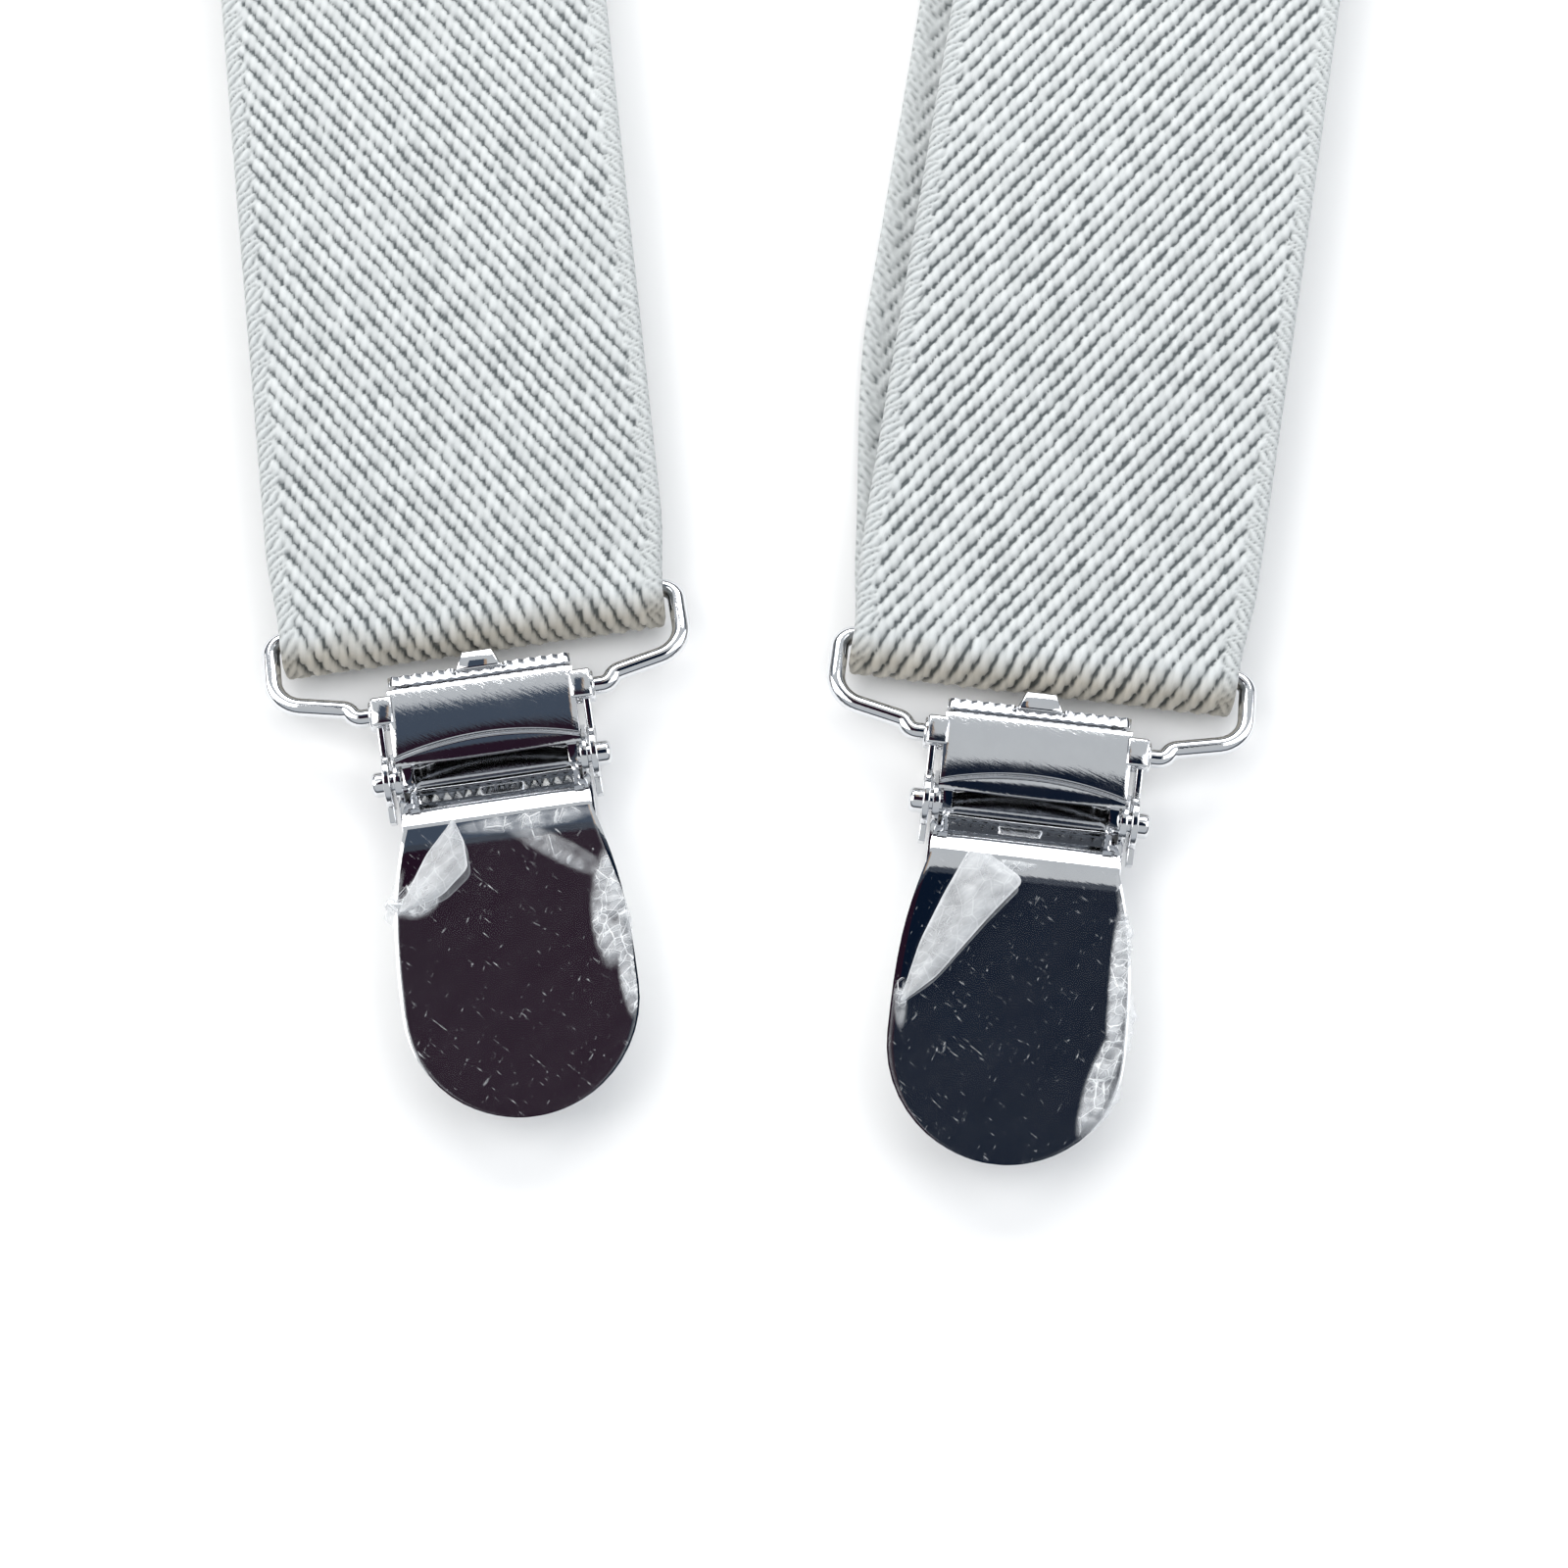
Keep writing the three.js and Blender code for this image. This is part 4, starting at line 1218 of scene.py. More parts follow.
    def build(self, side: Side, palette: Palette) -> bpy.types.Object:
        """Lay the film and its folded flap.

        Args:
            side: which clip it belongs to.
            palette: the materials.

        Returns:
            The film.
        """
        seed = {Side.LEFT: 0.4, Side.RIGHT: 2.2, Side.BACK: 4.1}[side]
        rows, columns = self.grid
        y = np.linspace(self.top, self.bottom + 0.02, rows)[:, None] * np.ones((1, columns))
        across = np.linspace(-1.0, 1.0, columns)[None, :] * np.ones((rows, 1))
        x = across * self.side_half(y)
        near, far, lift = self.folds[side]
        bare = self.left_of(near, x, y)
        folds = self.crinkle(x, y, seed)
        haze = np.full(x.shape, 0.006)
        for cx, cy, rx, ry, turn, strength in self.clouded[side]:
            u = (x - cx) * math.cos(turn) + (y - cy) * math.sin(turn)
            v = (y - cy) * math.cos(turn) - (x - cx) * math.sin(turn)
            inside = smooth((1.25 - np.hypot(u / rx, v / ry)) / 0.5)
            haze = np.maximum(haze, strength * inside * (0.25 + 0.75 * folds ** 1.5))
        loose = self.looseness[side]
        relief = 0.55 * loose * smooth(haze / 0.4) * folds
        crease = smooth((haze - 0.10) / 0.16)
        haze = np.maximum(haze, 0.08 * smooth((np.abs(across) - 0.975) / 0.02)) * (1.0 - bare)
        for sign, middle, reach, amount in self.spills[side]:
            ragged = 0.75 + 0.25 * np.sin(3.1 * y + seed) * np.sin(1.3 * y)
            spill = smooth(1.0 - np.abs(y - middle) / reach) * ragged
            outer = smooth((across * sign - 0.93) / 0.07)
            x = x + sign * amount * spill * outer
            relief = relief - 0.5 * spill * smooth((across * sign - 0.985) / 0.015)
            haze = np.maximum(haze, 0.55 * spill * smooth((across * sign - 0.955) / 0.03) * (0.5 + folds))
        sheet = self.sheet_mesh("sheet", np.stack([x, y, self.level(y) + relief], -1), haze, crease)
        s, t = np.meshgrid(np.linspace(0.0, 1.0, self.flap_grid[0]), np.linspace(0.0, 1.0, self.flap_grid[1]),
                           indexing="ij")
        plan = self.run_along(near, s) * (1.0 - t[..., None]) + self.run_along(far, s) * t[..., None]
        wrinkle = self.crinkle(plan[..., 0] * 0.8, plan[..., 1] * 0.8, seed + 1.0)
        bulge = np.sin(math.pi * np.clip(t * 0.7 + 0.02, 0.0, 1.0))
        curl = lift * bulge * np.sin(math.pi * np.clip(1.05 - s, 0.0, 0.5))
        height = self.level(plan[..., 1]) + 0.03 + loose * (0.09 + curl + 0.22 * wrinkle * smooth(t / 0.2))
        border = smooth((np.abs(t - 0.5) - 0.44) / 0.05)
        milky = 0.34 + 0.20 * wrinkle ** 2 + 0.30 * border
        flap = self.sheet_mesh("flap", np.concatenate([plan, height[..., None]], -1), milky, 0.12 * wrinkle)
        film = unite([sheet, flap], f"film_sheet_{side.value}")
        apply_modifier(film, "SOLIDIFY", thickness=self.thickness, offset=0.0)
        film = set_in_clip(film, side, f"{side.value}_cover", f"film_{side.value}", palette.film, 60.0)
        return film


# ------------------------------------------------------------------ webbing
@dataclass(frozen=True)
class Weave:
    """Relief of a 2/1 twill: warp floats on a skewed lattice, and ribbed selvedges."""

    pitch_mm: float = 0.49
    period_mm: float = 2.1
    float_half_width_mm: float = 0.43
    float_half_length_mm: float = 0.78
    relief_mm: float = 0.34
    selvedge_mm: float = 1.3
    rib_pitch_mm: float = 0.72
    diagonal: float = 1.0
    seed: float = 3.1

    @staticmethod
    def scatter(first: np.ndarray, second: np.ndarray, seed: float) -> np.ndarray:
        """Repeatable scatter between 0 and 1 for whole-number pairs."""
        value = np.sin(first * 127.1 + second * 311.7 + seed * 74.7) * 43758.5453
        return value - np.floor(value)

    def floats(self, across: np.ndarray, along: np.ndarray) -> np.ndarray:
        """Height of the floats above the ground of the cloth, from 0 to 1.

        Args:
            across: millimetres across the webbing.
            along: millimetres along it.

        Returns:
            The height at each point.
        """
        height = np.zeros(np.broadcast(across, along).shape)
        column = np.floor(across / self.pitch_mm)
        for step in (-1, 0, 1):
            own = column + step
            phase = along / self.period_mm + own * self.diagonal / 3.0
            row = np.floor(phase)
            for lift in (-1, 0, 1):
                number = row + lift
                size = 1.0 + 0.26 * (self.scatter(own, number, self.seed) - 0.5)
                nudge = 0.12 * (self.scatter(own, number, self.seed + 1.0) - 0.5)
                slide = 0.22 * (self.scatter(own, number, self.seed + 2.0) - 0.5)
                rise = 1.0 - 0.22 * self.scatter(own, number, self.seed + 3.0)
                v = (phase - number - 0.5) * self.period_mm - slide
                u = across - (own + 0.5) * self.pitch_mm - nudge + 0.10 * self.diagonal * v
                taper = 1.0 - 0.18 * np.clip(v / self.float_half_length_mm, -1.0, 1.0)
                reach = (np.abs(u) / (self.float_half_width_mm * size * taper)) ** 2.4
                reach = reach + (np.abs(v) / (self.float_half_length_mm * size)) ** 2.4
                height = np.maximum(height, rise * np.sqrt(np.clip(1.0 - reach, 0.0, 1.0)))
        return height

    def relief(self, across: np.ndarray, along: np.ndarray,
               half: np.ndarray) -> tuple[np.ndarray, np.ndarray]:
        """Height of the cloth's face below its crests, and its loft, which sets the painted shade of the
        hollows in the colour.

        Args:
            across: millimetres across the webbing, from its middle.
            along: millimetres along it.
            half: half of its width there, in millimetres.

        Returns:
            The height in millimetres (0 at the crests, negative in the hollows), and the loft.
        """
        floats = self.floats(across, along)
        inset = half - np.abs(across)
        wander = 0.25 * np.sin(along * 2.9 + np.sign(across)) + 0.2 * np.sin(along * 1.1)
        inner = smooth((inset - self.selvedge_mm + wander) / 0.5)
        rib_phase = along - 0.75 * inset * (1.0 + 0.2 * np.sin(along * 1.7)) + 0.12 * np.sin(along * 4.3)
        ribs = np.abs(np.cos(np.pi * rib_phase / self.rib_pitch_mm))
        ribs = 0.12 + 0.74 * ribs ** 0.8
        loft = floats * inner + ribs * (1.0 - inner)
        return (loft - 1.0) * self.relief_mm, loft


@dataclass
class WebbingStrip:
    """A closed strip of webbing laid along stations, with a modelled weave on one face."""

    name: str
    place: Callable[[np.ndarray, np.ndarray, float], np.ndarray]
    stations: Sequence[float]
    columns: int
    half_width: Callable[[float], float]
    weave: Weave
    woven_face: float = 1.0
    modelled: bool = True
    thickness_mm: float = 1.4
    edge_mm: float = 0.55
    plain_drop_mm: float = 0.12

    def build(self, material: bpy.types.Material) -> bpy.types.Object:
        """Lay the strip's mesh.

        Args:
            material: the webbing's material.

        Returns:
            The piece, in the row frame.
        """
        stations = np.array(self.stations)
        share = np.linspace(-1.0, 1.0, self.columns + 1)
        edge = self.edge_mm
        back = np.linspace(1.0, -1.0, 6)
        section_u = np.concatenate([share, [1.0], back[1:-1], [-1.0]])
        section_side = np.concatenate([np.ones(share.size), [0.0], -np.ones(4), [0.0]])
        count = section_u.size
        points = np.zeros((stations.size, count, 3))
        lofts = np.zeros((stations.size, count))
        weaves = np.zeros((stations.size, count, 2))
        half_thick = self.thickness_mm / 2.0
        for row, station in enumerate(stations):
            half = self.half_width(station)
            u = section_u * half
            inset = half - np.abs(u)
            drop = edge - np.sqrt(np.clip(edge ** 2 - (edge - inset) ** 2, 0.0, None))
            rounding = np.where(inset < edge, drop, 0)
            relief, loft = self.weave.relief(u, np.full(count, station), np.full(count, half))
            if not self.modelled:
                relief = relief * 0.0 - self.plain_drop_mm
            face = np.where(section_side > 0, half_thick + relief - rounding, 0.0)
            rear = np.where(section_side < 0, -half_thick, 0.0)
            out = (face + rear) * self.woven_face
            points[row] = self.place(section_u, out, station)
            # The loft sets the painted shade of the hollows; the back and the edges get a middle value.
            lofts[row] = np.where(section_side > 0, loft, 0.6)
            weaves[row, :, 0] = u
            weaves[row, :, 1] = station
        mesh = bpy.data.meshes.new(self.name)
        index = np.arange(stations.size * count).reshape(stations.size, count)
        nearer, further = index[:-1], index[1:]
        quads = np.stack([nearer, np.roll(nearer, -1, 1), np.roll(further, -1, 1), further], -1)
        faces = quads.reshape(-1, 4).tolist() + [index[0][::-1].tolist(), index[-1].tolist()]
        mesh.from_pydata(points.reshape(-1, 3).tolist(), [], faces)
        piece = link_new(self.name, mesh)
        loft_layer = mesh.attributes.new("Loft", "FLOAT", "POINT")
        loft_layer.data.foreach_set("value", lofts.reshape(-1).astype(np.float32))
        uv = mesh.uv_layers.new(name="Weave")
        corner = np.zeros(len(mesh.loops), np.int32)
        mesh.loops.foreach_get("vertex_index", corner)
        uv.data.foreach_set("uv", weaves.reshape(-1, 2)[corner].astype(np.float32).reshape(-1))
        with whole(piece):
            bpy.ops.mesh.normals_make_consistent(inside=False)
        bpy.ops.object.shade_smooth()
        dress(piece, material)
        return piece


@dataclass
class FoldedStrap:
    """What every strap shares: webbing folded round a bail, a little narrower in its fold."""

    palette: Palette
    width_mm: float = 35.0
    fold_width_mm: float = 33.8
    fold_ease_mm: float = 8.0
    fold_mid_mm: float = 1.8
    sewn_mid_mm: float = 2.5

    @property
    def half_fold(self) -> float:
        """Half of the fold's length, along the webbing's middle."""
        return math.pi * self.fold_mid_mm / 2.0

    def half_width(self, distance: float) -> float:
        """Half of the webbing's width."""
        ease = float(smooth(abs(distance) / self.fold_ease_mm))
        return (self.fold_width_mm + (self.width_mm - self.fold_width_mm) * ease) / 2.0

    def folded_half_width(self, station: float) -> float:
        """Half of the webbing's width, near the fold."""
        return self.half_width(max(0.0, abs(station) - self.half_fold))


@dataclass
class FrontStrap(FoldedStrap):
    """One front strap: fold round the bail, front layer, shoulder turn, back run, return and sewn end."""

    side: Side = Side.LEFT
    fold_slack: float = 1.45
    bar_height_mm: float = 2.5
    table_mid_mm: float = 0.7
    run_height_mm: float = 5.6
    front_length_mm: float = 470.0
    shoulder_radius_mm: float = 4.0
    slide_distance_mm: float = 140.0
    slide_end_mm: float = 20.0
    sewn_bar_mm: float = 2.3
    sewn_bend_mm: float = 1.6
    sewn_reach_mm: float = 2.05
    sewn_under_mm: float = 22.05
    sewn_over_mm: float = 16.1
    travel_top_mm: float = 244.0
    descent_mm: float = 45.0
    crossover_mm: float = 85.0
    crossing_mm: float = 2.4
    detailed_length_mm: float = 72.0
    sewn_rise_mm: tuple[float, float] = (75.0, 55.0)
    drift_rise_mm: float = 32.0
    drift_fade_mm: tuple[float, float] = (85.0, 25.0)
    stretch_mm: tuple[float, float, float] = (5.0, 112.0, 230.0)
    row_mm: float = 0.22
    columns: tuple[int, int, int] = (196, 100, 24)
    return_drift_mm: dict = field(default_factory=lambda: {Side.LEFT: 0.0, Side.RIGHT: -3.1})

    def __post_init__(self) -> None:
        """Take the strap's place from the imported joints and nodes."""
        clip = ClipFrame(self.side)
        origin = clip.matrix.translation / MM
        self.origin = np.array([origin.x, origin.y])
        self.turn = math.atan2(clip.across.y, clip.across.x)
        pull = joint(f"{self.side.value}_length_adjust")["axis"]
        self.lean = math.atan2(-pull[0], pull[1])
        self.up = np.array([pull[0], pull[1]])
        self.slope = -math.tan(self.lean - self.turn)
        bar = Vector(joint(f"{self.side.value}_bail_swing")["pos_m"]) / MM
        self.bar_reach = float(np.linalg.norm(np.array([bar.x, bar.y]) - self.origin))
        self.inward = 1.0 if self.side is Side.LEFT else -1.0
        self.crease = self.plan(np.array(0.0), np.array(self.front_length_mm))
        low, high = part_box("patch_outer")
        self.patch = np.array([(low.x + high.x) / 2.0, (low.y + high.y) / 2.0]) / MM
        self.solve_shoulder()

    def plan(self, across: np.ndarray, distance: np.ndarray) -> np.ndarray:
        """Point of the flat webbing in plan.

        Args:
            across: millimetres across the strap.
            distance: millimetres above the bail's bar.

        Returns:
            The points' X and Y in millimetres.
        """
        x = across + distance * self.slope
        y = self.bar_reach + distance
        cosine, sine = math.cos(self.turn), math.sin(self.turn)
        return np.stack([self.origin[0] + x * cosine - y * sine, self.origin[1] + x * sine + y * cosine], -1)

    def solve_shoulder(self) -> None:
        """Find the back run's direction, so that its inner corner meets the patch's centre line."""
        corner = np.array([self.patch[0] - self.inward * 0.6, self.patch[1] + 12.0])
        self.wrap = math.pi * self.shoulder_radius_mm
        down = np.array([0.0, -1.0])
        for _ in range(8):
            normal = self.up - down
            self.normal = normal / np.linalg.norm(normal)
            self.along = np.array([self.normal[1], -self.normal[0]])
            cosine, sine = float(self.up @ self.normal), float(self.up @ self.along)
            start = self.crease + self.along * self.wrap * sine / cosine
            to_corner = corner - start
            distance = float(np.linalg.norm(to_corner))
            bearing = math.atan2(self.inward * to_corner[0], -to_corner[1])
            angle = bearing - math.asin(self.width_mm / 2.0 / distance)
            down = np.array([self.inward * math.sin(angle), -math.cos(angle)])
            self.flat_end = self.front_length_mm + self.wrap / cosine + float(to_corner @ down)

    def front_height(self, distance: float) -> float:
        """Height of the front layer's middle.

        Args:
            distance: millimetres above the bail's bar.

        Returns:
            The height in millimetres.
        """
        top = self.bar_height_mm + self.fold_mid_mm
        high = top + (self.run_height_mm - top) * float(smooth((distance - 4.0) / 46.0))
        fall = float(smooth((distance - self.travel_top_mm) / self.descent_mm))
        return high + (self.crossing_mm - high) * fall

    def crease_height(self, below: np.ndarray) -> np.ndarray:
        """Height of the front run near the shoulder crease.

        Args:
            below: millimetres below the crease.

        Returns:
            The height in millimetres.
        """
        fall = 1.0 - smooth(below / (self.crossover_mm * 0.8))
        top = self.table_mid_mm + 2.0 * self.shoulder_radius_mm
        return self.crossing_mm + (top - self.crossing_mm) * fall

    def run_point(self, across: np.ndarray, out: np.ndarray, distance: float) -> np.ndarray:
        """Points of the front layer, the shoulder turn or the back run.

        Args:
            across: shares of the half width.
            out: millimetres out of the webbing's middle surface.
            distance: millimetres above the bail's bar.

        Returns:
            The points in metres.
        """
        flat = self.plan(across * self.half_width(distance), np.full(across.shape, distance))
        offset = flat - self.crease
        height, lateral = offset @ self.normal, offset @ self.along
        start, length = self.sewn_rise_mm
        share = float(smooth((distance - self.flat_end + start) / length))
        rise = share * (self.sewn_mid_mm - self.table_mid_mm)
        if distance < self.travel_top_mm + self.descent_mm:
            middle = np.full(across.shape, self.front_height(distance))
        else:
            middle = self.crease_height(-height)
        angle = np.clip(height / self.shoulder_radius_mm, 0.0, math.pi)
        radius = self.shoulder_radius_mm + out
        wrapped = height > self.wrap
        turning = (height >= 0.0) & ~wrapped
        ahead = np.where(wrapped, self.wrap - height, np.where(turning, radius * np.sin(angle), height))
        z = np.where(wrapped, self.table_mid_mm - out + rise, np.where(
            turning, self.table_mid_mm + self.shoulder_radius_mm + radius * np.cos(angle), middle + out))
        plan = self.crease + ahead[:, None] * self.normal + lateral[:, None] * self.along
        return np.concatenate([plan, z[:, None]], 1) * MM

    def fold_point(self, across: np.ndarray, out: np.ndarray, station: float) -> np.ndarray:
        """Points of the lower end: front layer above the fold's middle, the fold, and the return below it.

        Args:
            across: shares of the half width.
            out: millimetres out of the webbing's middle surface.
            station: millimetres along the webbing from the fold's lowest point.

        Returns:
            The points in metres.
        """
        if station >= self.half_fold:
            return self.run_point(across, out, station - self.half_fold)
        if station > -self.half_fold:
            angle = station / self.fold_mid_mm
            radius = self.fold_mid_mm + out
            plan = self.plan(across * self.fold_width_mm / 2.0, -radius * math.cos(angle) * self.fold_slack)
            z = self.bar_height_mm + radius * math.sin(angle)
            return np.concatenate([plan, z[:, None]], 1) * MM
        return self.return_point(across, out, -self.half_fold - station)

    def return_point(self, across: np.ndarray, out: np.ndarray, distance: float) -> np.ndarray:
        """Points of the return layer, which lies on the table and may drift sideways.

        Args:
            across: shares of the half width.
            out: millimetres out of the webbing's middle surface.
            distance: millimetres above the bail's bar.

        Returns:
            The points in metres.
        """
        fade_start, fade_length = self.drift_fade_mm
        fading = 1.0 - float(smooth((distance - fade_start) / fade_length))
        drift = self.return_drift_mm[self.side] * float(smooth(distance / self.drift_rise_mm)) * fading
        plan = self.plan(across * self.half_width(distance) + drift, np.full(across.shape, distance))
        z = self.bar_height_mm - self.fold_mid_mm - out
        return np.concatenate([plan, z[:, None]], 1) * MM

    def sewn_point(self, across: np.ndarray, out: np.ndarray, station: float) -> np.ndarray:
        """Points of the strap's sewn end, bent round the slide's centre bar.

        Args:
            across: shares of the half width.
            out: millimetres out of the webbing's middle surface.
            station: millimetres along the webbing from the bend's middle.

        Returns:
            The points in metres.
        """
        bend = self.sewn_bend_mm
        half = math.pi * bend / 2.0
        x = across * self.width_mm / 2.0
        base = self.slide_distance_mm + self.sewn_reach_mm
        if station < -half:
            plan = self.plan(x, np.full(x.shape, base + half + station))
            z = self.sewn_bar_mm - bend - out
        elif station > half:
            plan = self.plan(x, np.full(x.shape, base + half - station))
            z = self.sewn_bar_mm + bend + out
        else:
            radius = bend + out
            plan = self.plan(x, base + radius * math.cos(station / bend))
            z = self.sewn_bar_mm + radius * math.sin(station / bend)
        return np.concatenate([plan, z[:, None]], 1) * MM

    def middle(self, distance: float) -> Point:
        """Middle of the strap in plan, in metres."""
        x, y = self.plan(np.array(0.0), np.array(distance)) * MM
        return (float(x), float(y), self.bar_height_mm * MM)

    def build(self) -> list[bpy.types.Object]:
        """Lay the strap's pieces, attach the sewn end to its slide and hide the CAD nodes that they replace.

        Returns:
            The pieces.
        """
        name = self.side.value
        left = self.side is Side.LEFT
        weave = Weave(diagonal=1.0 if left else -1.0, seed=3.1 if left else 8.7)
        woven = self.palette.woven_down if left else self.palette.woven_up
        twill = self.palette.twill_down if left else self.palette.twill_up
        fine_end = self.half_fold + self.detailed_length_mm
        rows = int((fine_end + self.half_fold) / self.row_mm)
        fine, medium, coarse = self.columns
        front_stations = np.linspace(-self.half_fold, fine_end, rows)
        front = WebbingStrip(f"webbing_front_{name}", self.fold_point, front_stations, fine,
                             self.folded_half_width, weave).build(woven)
        upper_stations = np.concatenate([
            np.arange(self.detailed_length_mm, 400.0, 2.5), np.arange(400.0, 520.0, 1.0),
            np.arange(520.0, self.flat_end, 2.5), [self.flat_end]])
        upper = WebbingStrip(f"webbing_shoulder_{name}", self.run_point, upper_stations, coarse,
                             self.half_width, weave, modelled=False).build(twill)
        return_end = self.slide_distance_mm - self.slide_end_mm - 0.3
        lower_stations = -self.half_fold - np.concatenate([
            np.arange(0.0, 74.0, 0.36), np.arange(74.0, return_end, 2.0), [return_end]])
        lower = WebbingStrip(f"webbing_return_{name}", self.fold_point, lower_stations[::-1], medium,
                             self.folded_half_width, Weave(diagonal=-weave.diagonal, seed=5.5),
                             woven_face=-1.0).build(woven)
        bend_half = math.pi * self.sewn_bend_mm / 2.0
        end_stations = np.concatenate([
            np.linspace(-bend_half - self.sewn_under_mm, -bend_half - 0.1, 12),
            np.linspace(-bend_half, bend_half, 12),
            np.linspace(bend_half + 0.5, bend_half + self.sewn_over_mm, 9)])
        sewn = WebbingStrip(f"webbing_end_{name}", self.sewn_point, end_stations, coarse,
                            lambda station: self.width_mm / 2.0, weave, modelled=False).build(twill)
        loop_body, slide_body = f"{name}_loop", f"{name}_slide"
        held, slide_end, front_end = (self.middle(distance) for distance in self.stretch_mm)
        for piece in (front, upper):
            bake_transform(piece)
        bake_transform(lower)
        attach(sewn, slide_body)
        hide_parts(f"strap_loop_{name}")
        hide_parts(f"shoulder_strap_{name}")
        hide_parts(f"strap_end_{name}")
        pieces = [front, upper, lower, sewn]
        return pieces


@dataclass
class BackStrap(FoldedStrap):
    """The back strap, folded round the back bail and sewn into the patch."""

    length_mm: float = 100.0
    return_mm: float = 26.0
    thickness_mm: float = 1.4

    def __post_init__(self) -> None:
        """Take the strap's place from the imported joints."""
        clip = ClipFrame(Side.BACK)
        bar = Vector(joint("back_bail_swing")["pos_m"]) / MM
        self.bar = np.array([bar.x, bar.y])
        self.bar_height = bar.z
        along = clip.outward.cross(clip.across)
        self.up = np.array([along.x, along.y])
        self.across = np.array([self.up[1], -self.up[0]])

    def point(self, across: np.ndarray, out: np.ndarray, station: float) -> np.ndarray:
        """Points of the back strap.

        Args:
            across: shares of the half width.
            out: millimetres out of the webbing's middle surface.
            station: millimetres along the webbing from the fold's lowest point.

        Returns:
            The points in metres.
        """
        main = self.bar_height - self.fold_mid_mm
        back = self.bar_height + self.fold_mid_mm
        sewn = main + self.thickness_mm + 0.3
        if station >= self.half_fold:
            ahead = np.full(across.shape, station - self.half_fold)
            lift = float(smooth((station - self.half_fold - 40.0) / 30.0))
            z = main + (self.sewn_mid_mm - main) * lift - out
        elif station > -self.half_fold:
            angle = station / self.fold_mid_mm
            ahead = -(self.fold_mid_mm + out) * math.cos(angle)
            z = self.bar_height - (self.fold_mid_mm + out) * math.sin(angle)
        else:
            ahead = np.full(across.shape, -self.half_fold - station)
            z = back + (sewn - back) * float(smooth((-self.half_fold - station) / 18.0)) + out
        aside = (across * self.folded_half_width(station))[:, None] * self.across
        return np.concatenate([self.bar + ahead[:, None] * self.up + aside, z[:, None]], 1) * MM

    def build(self) -> bpy.types.Object:
        """Lay the strap.

        Returns:
            The piece.
        """
        stations = np.concatenate([
            np.arange(-self.half_fold - self.return_mm, -self.half_fold, 1.0),
            np.linspace(-self.half_fold, self.half_fold, 14),
            np.arange(self.half_fold + 1.0, self.half_fold + self.length_mm, 2.0)])
        strap = WebbingStrip("webbing_back", self.point, stations, 24, self.folded_half_width, Weave(),
                             modelled=False).build(self.palette.twill_down)
        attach(strap, "webbing")
        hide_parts("back_strap")
        return strap


@dataclass(frozen=True)
class Seam:
    """A row of thread stitches along a path, each a copy of one modelled stitch."""

    name: str
    length_mm: float = 2.1
    step_mm: float = 3.0
    radius_mm: float = 0.26

    def build(self, path: np.ndarray, body: str, slot: str, material: bpy.types.Material,
              closed: bool = False) -> bpy.types.Object:
        """Lay the stitches.

        Args:
            path: points in metres that the seam runs through.
            body: the body that it follows.
            slot: the record's slot; not used.
            material: the thread.
            closed: whether the path comes back to its start.

        Returns:
            The seam.
        """
        points = np.vstack([path, path[:1]]) if closed else path
        runs = np.concatenate([[0.0], np.cumsum(np.linalg.norm(np.diff(points, axis=0), axis=1))])
        count = max(2, int(runs[-1] / (self.step_mm * MM)))
        spots = (np.arange(count) + 0.5) * runs[-1] / count
        deselect()
        bpy.ops.mesh.primitive_uv_sphere_add(segments=10, ring_count=7, radius=1.0)
        model = bpy.context.active_object
        model.scale = (self.length_mm / 2.0 * MM, self.radius_mm * MM, self.radius_mm * 0.8 * MM)
        model = name_active(self.name)
        stitches = []
        for spot in spots:
            behind, here, ahead = (Vector([float(np.interp(run, runs, points[:, axis])) for axis in range(3)])
                                   for run in (spot - MM, spot, spot + MM))
            direction = ahead - behind
            stitch = link_new(self.name, model.data.copy())
            turn = Matrix.Rotation(math.atan2(direction.y, direction.x) + 0.06, 4, "Z")
            stitch.data.transform(Matrix.Translation(here) @ turn)
            stitches.append(stitch)
        bpy.data.objects.remove(model, do_unlink=True)
        seam = unite(stitches, self.name)
        soften(seam, 60.0)
        dress(seam, material)
        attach(seam, body)
        return seam


def patch_outline(node: str, inset_mm: float, height_mm: float) -> np.ndarray:
    """Outline of a patch layer, drawn in from its edge.

    Args:
        node: the CAD node.
        inset_mm: how far the outline is drawn in.
        height_mm: how far above the node's top it lies.

    Returns:
        The outline's points in metres.
    """
    shape = frame["nodes"][node]
    corners = np.array([list(shape.matrix_world @ vertex.co) for vertex in shape.data.vertices])
    middle = (corners[:, :2].min(0) + corners[:, :2].max(0)) / 2.0
    bearings = np.linspace(0.0, 2.0 * math.pi, 240, endpoint=False)
    rays = np.stack([np.cos(bearings), np.sin(bearings)], -1)
    sides = np.stack([-rays[:, 1], rays[:, 0]], -1)
    support = ((corners[:, :2] - middle) @ rays.T).max(0) - inset_mm * MM
    slopes = (np.roll(support, -1) - np.roll(support, 1)) / (2.0 * (bearings[1] - bearings[0]))
    plan = middle + support[:, None] * rays + slopes[:, None] * sides
    return np.concatenate([plan, np.full((len(plan), 1), corners[:, 2].max() + height_mm * MM)], 1)


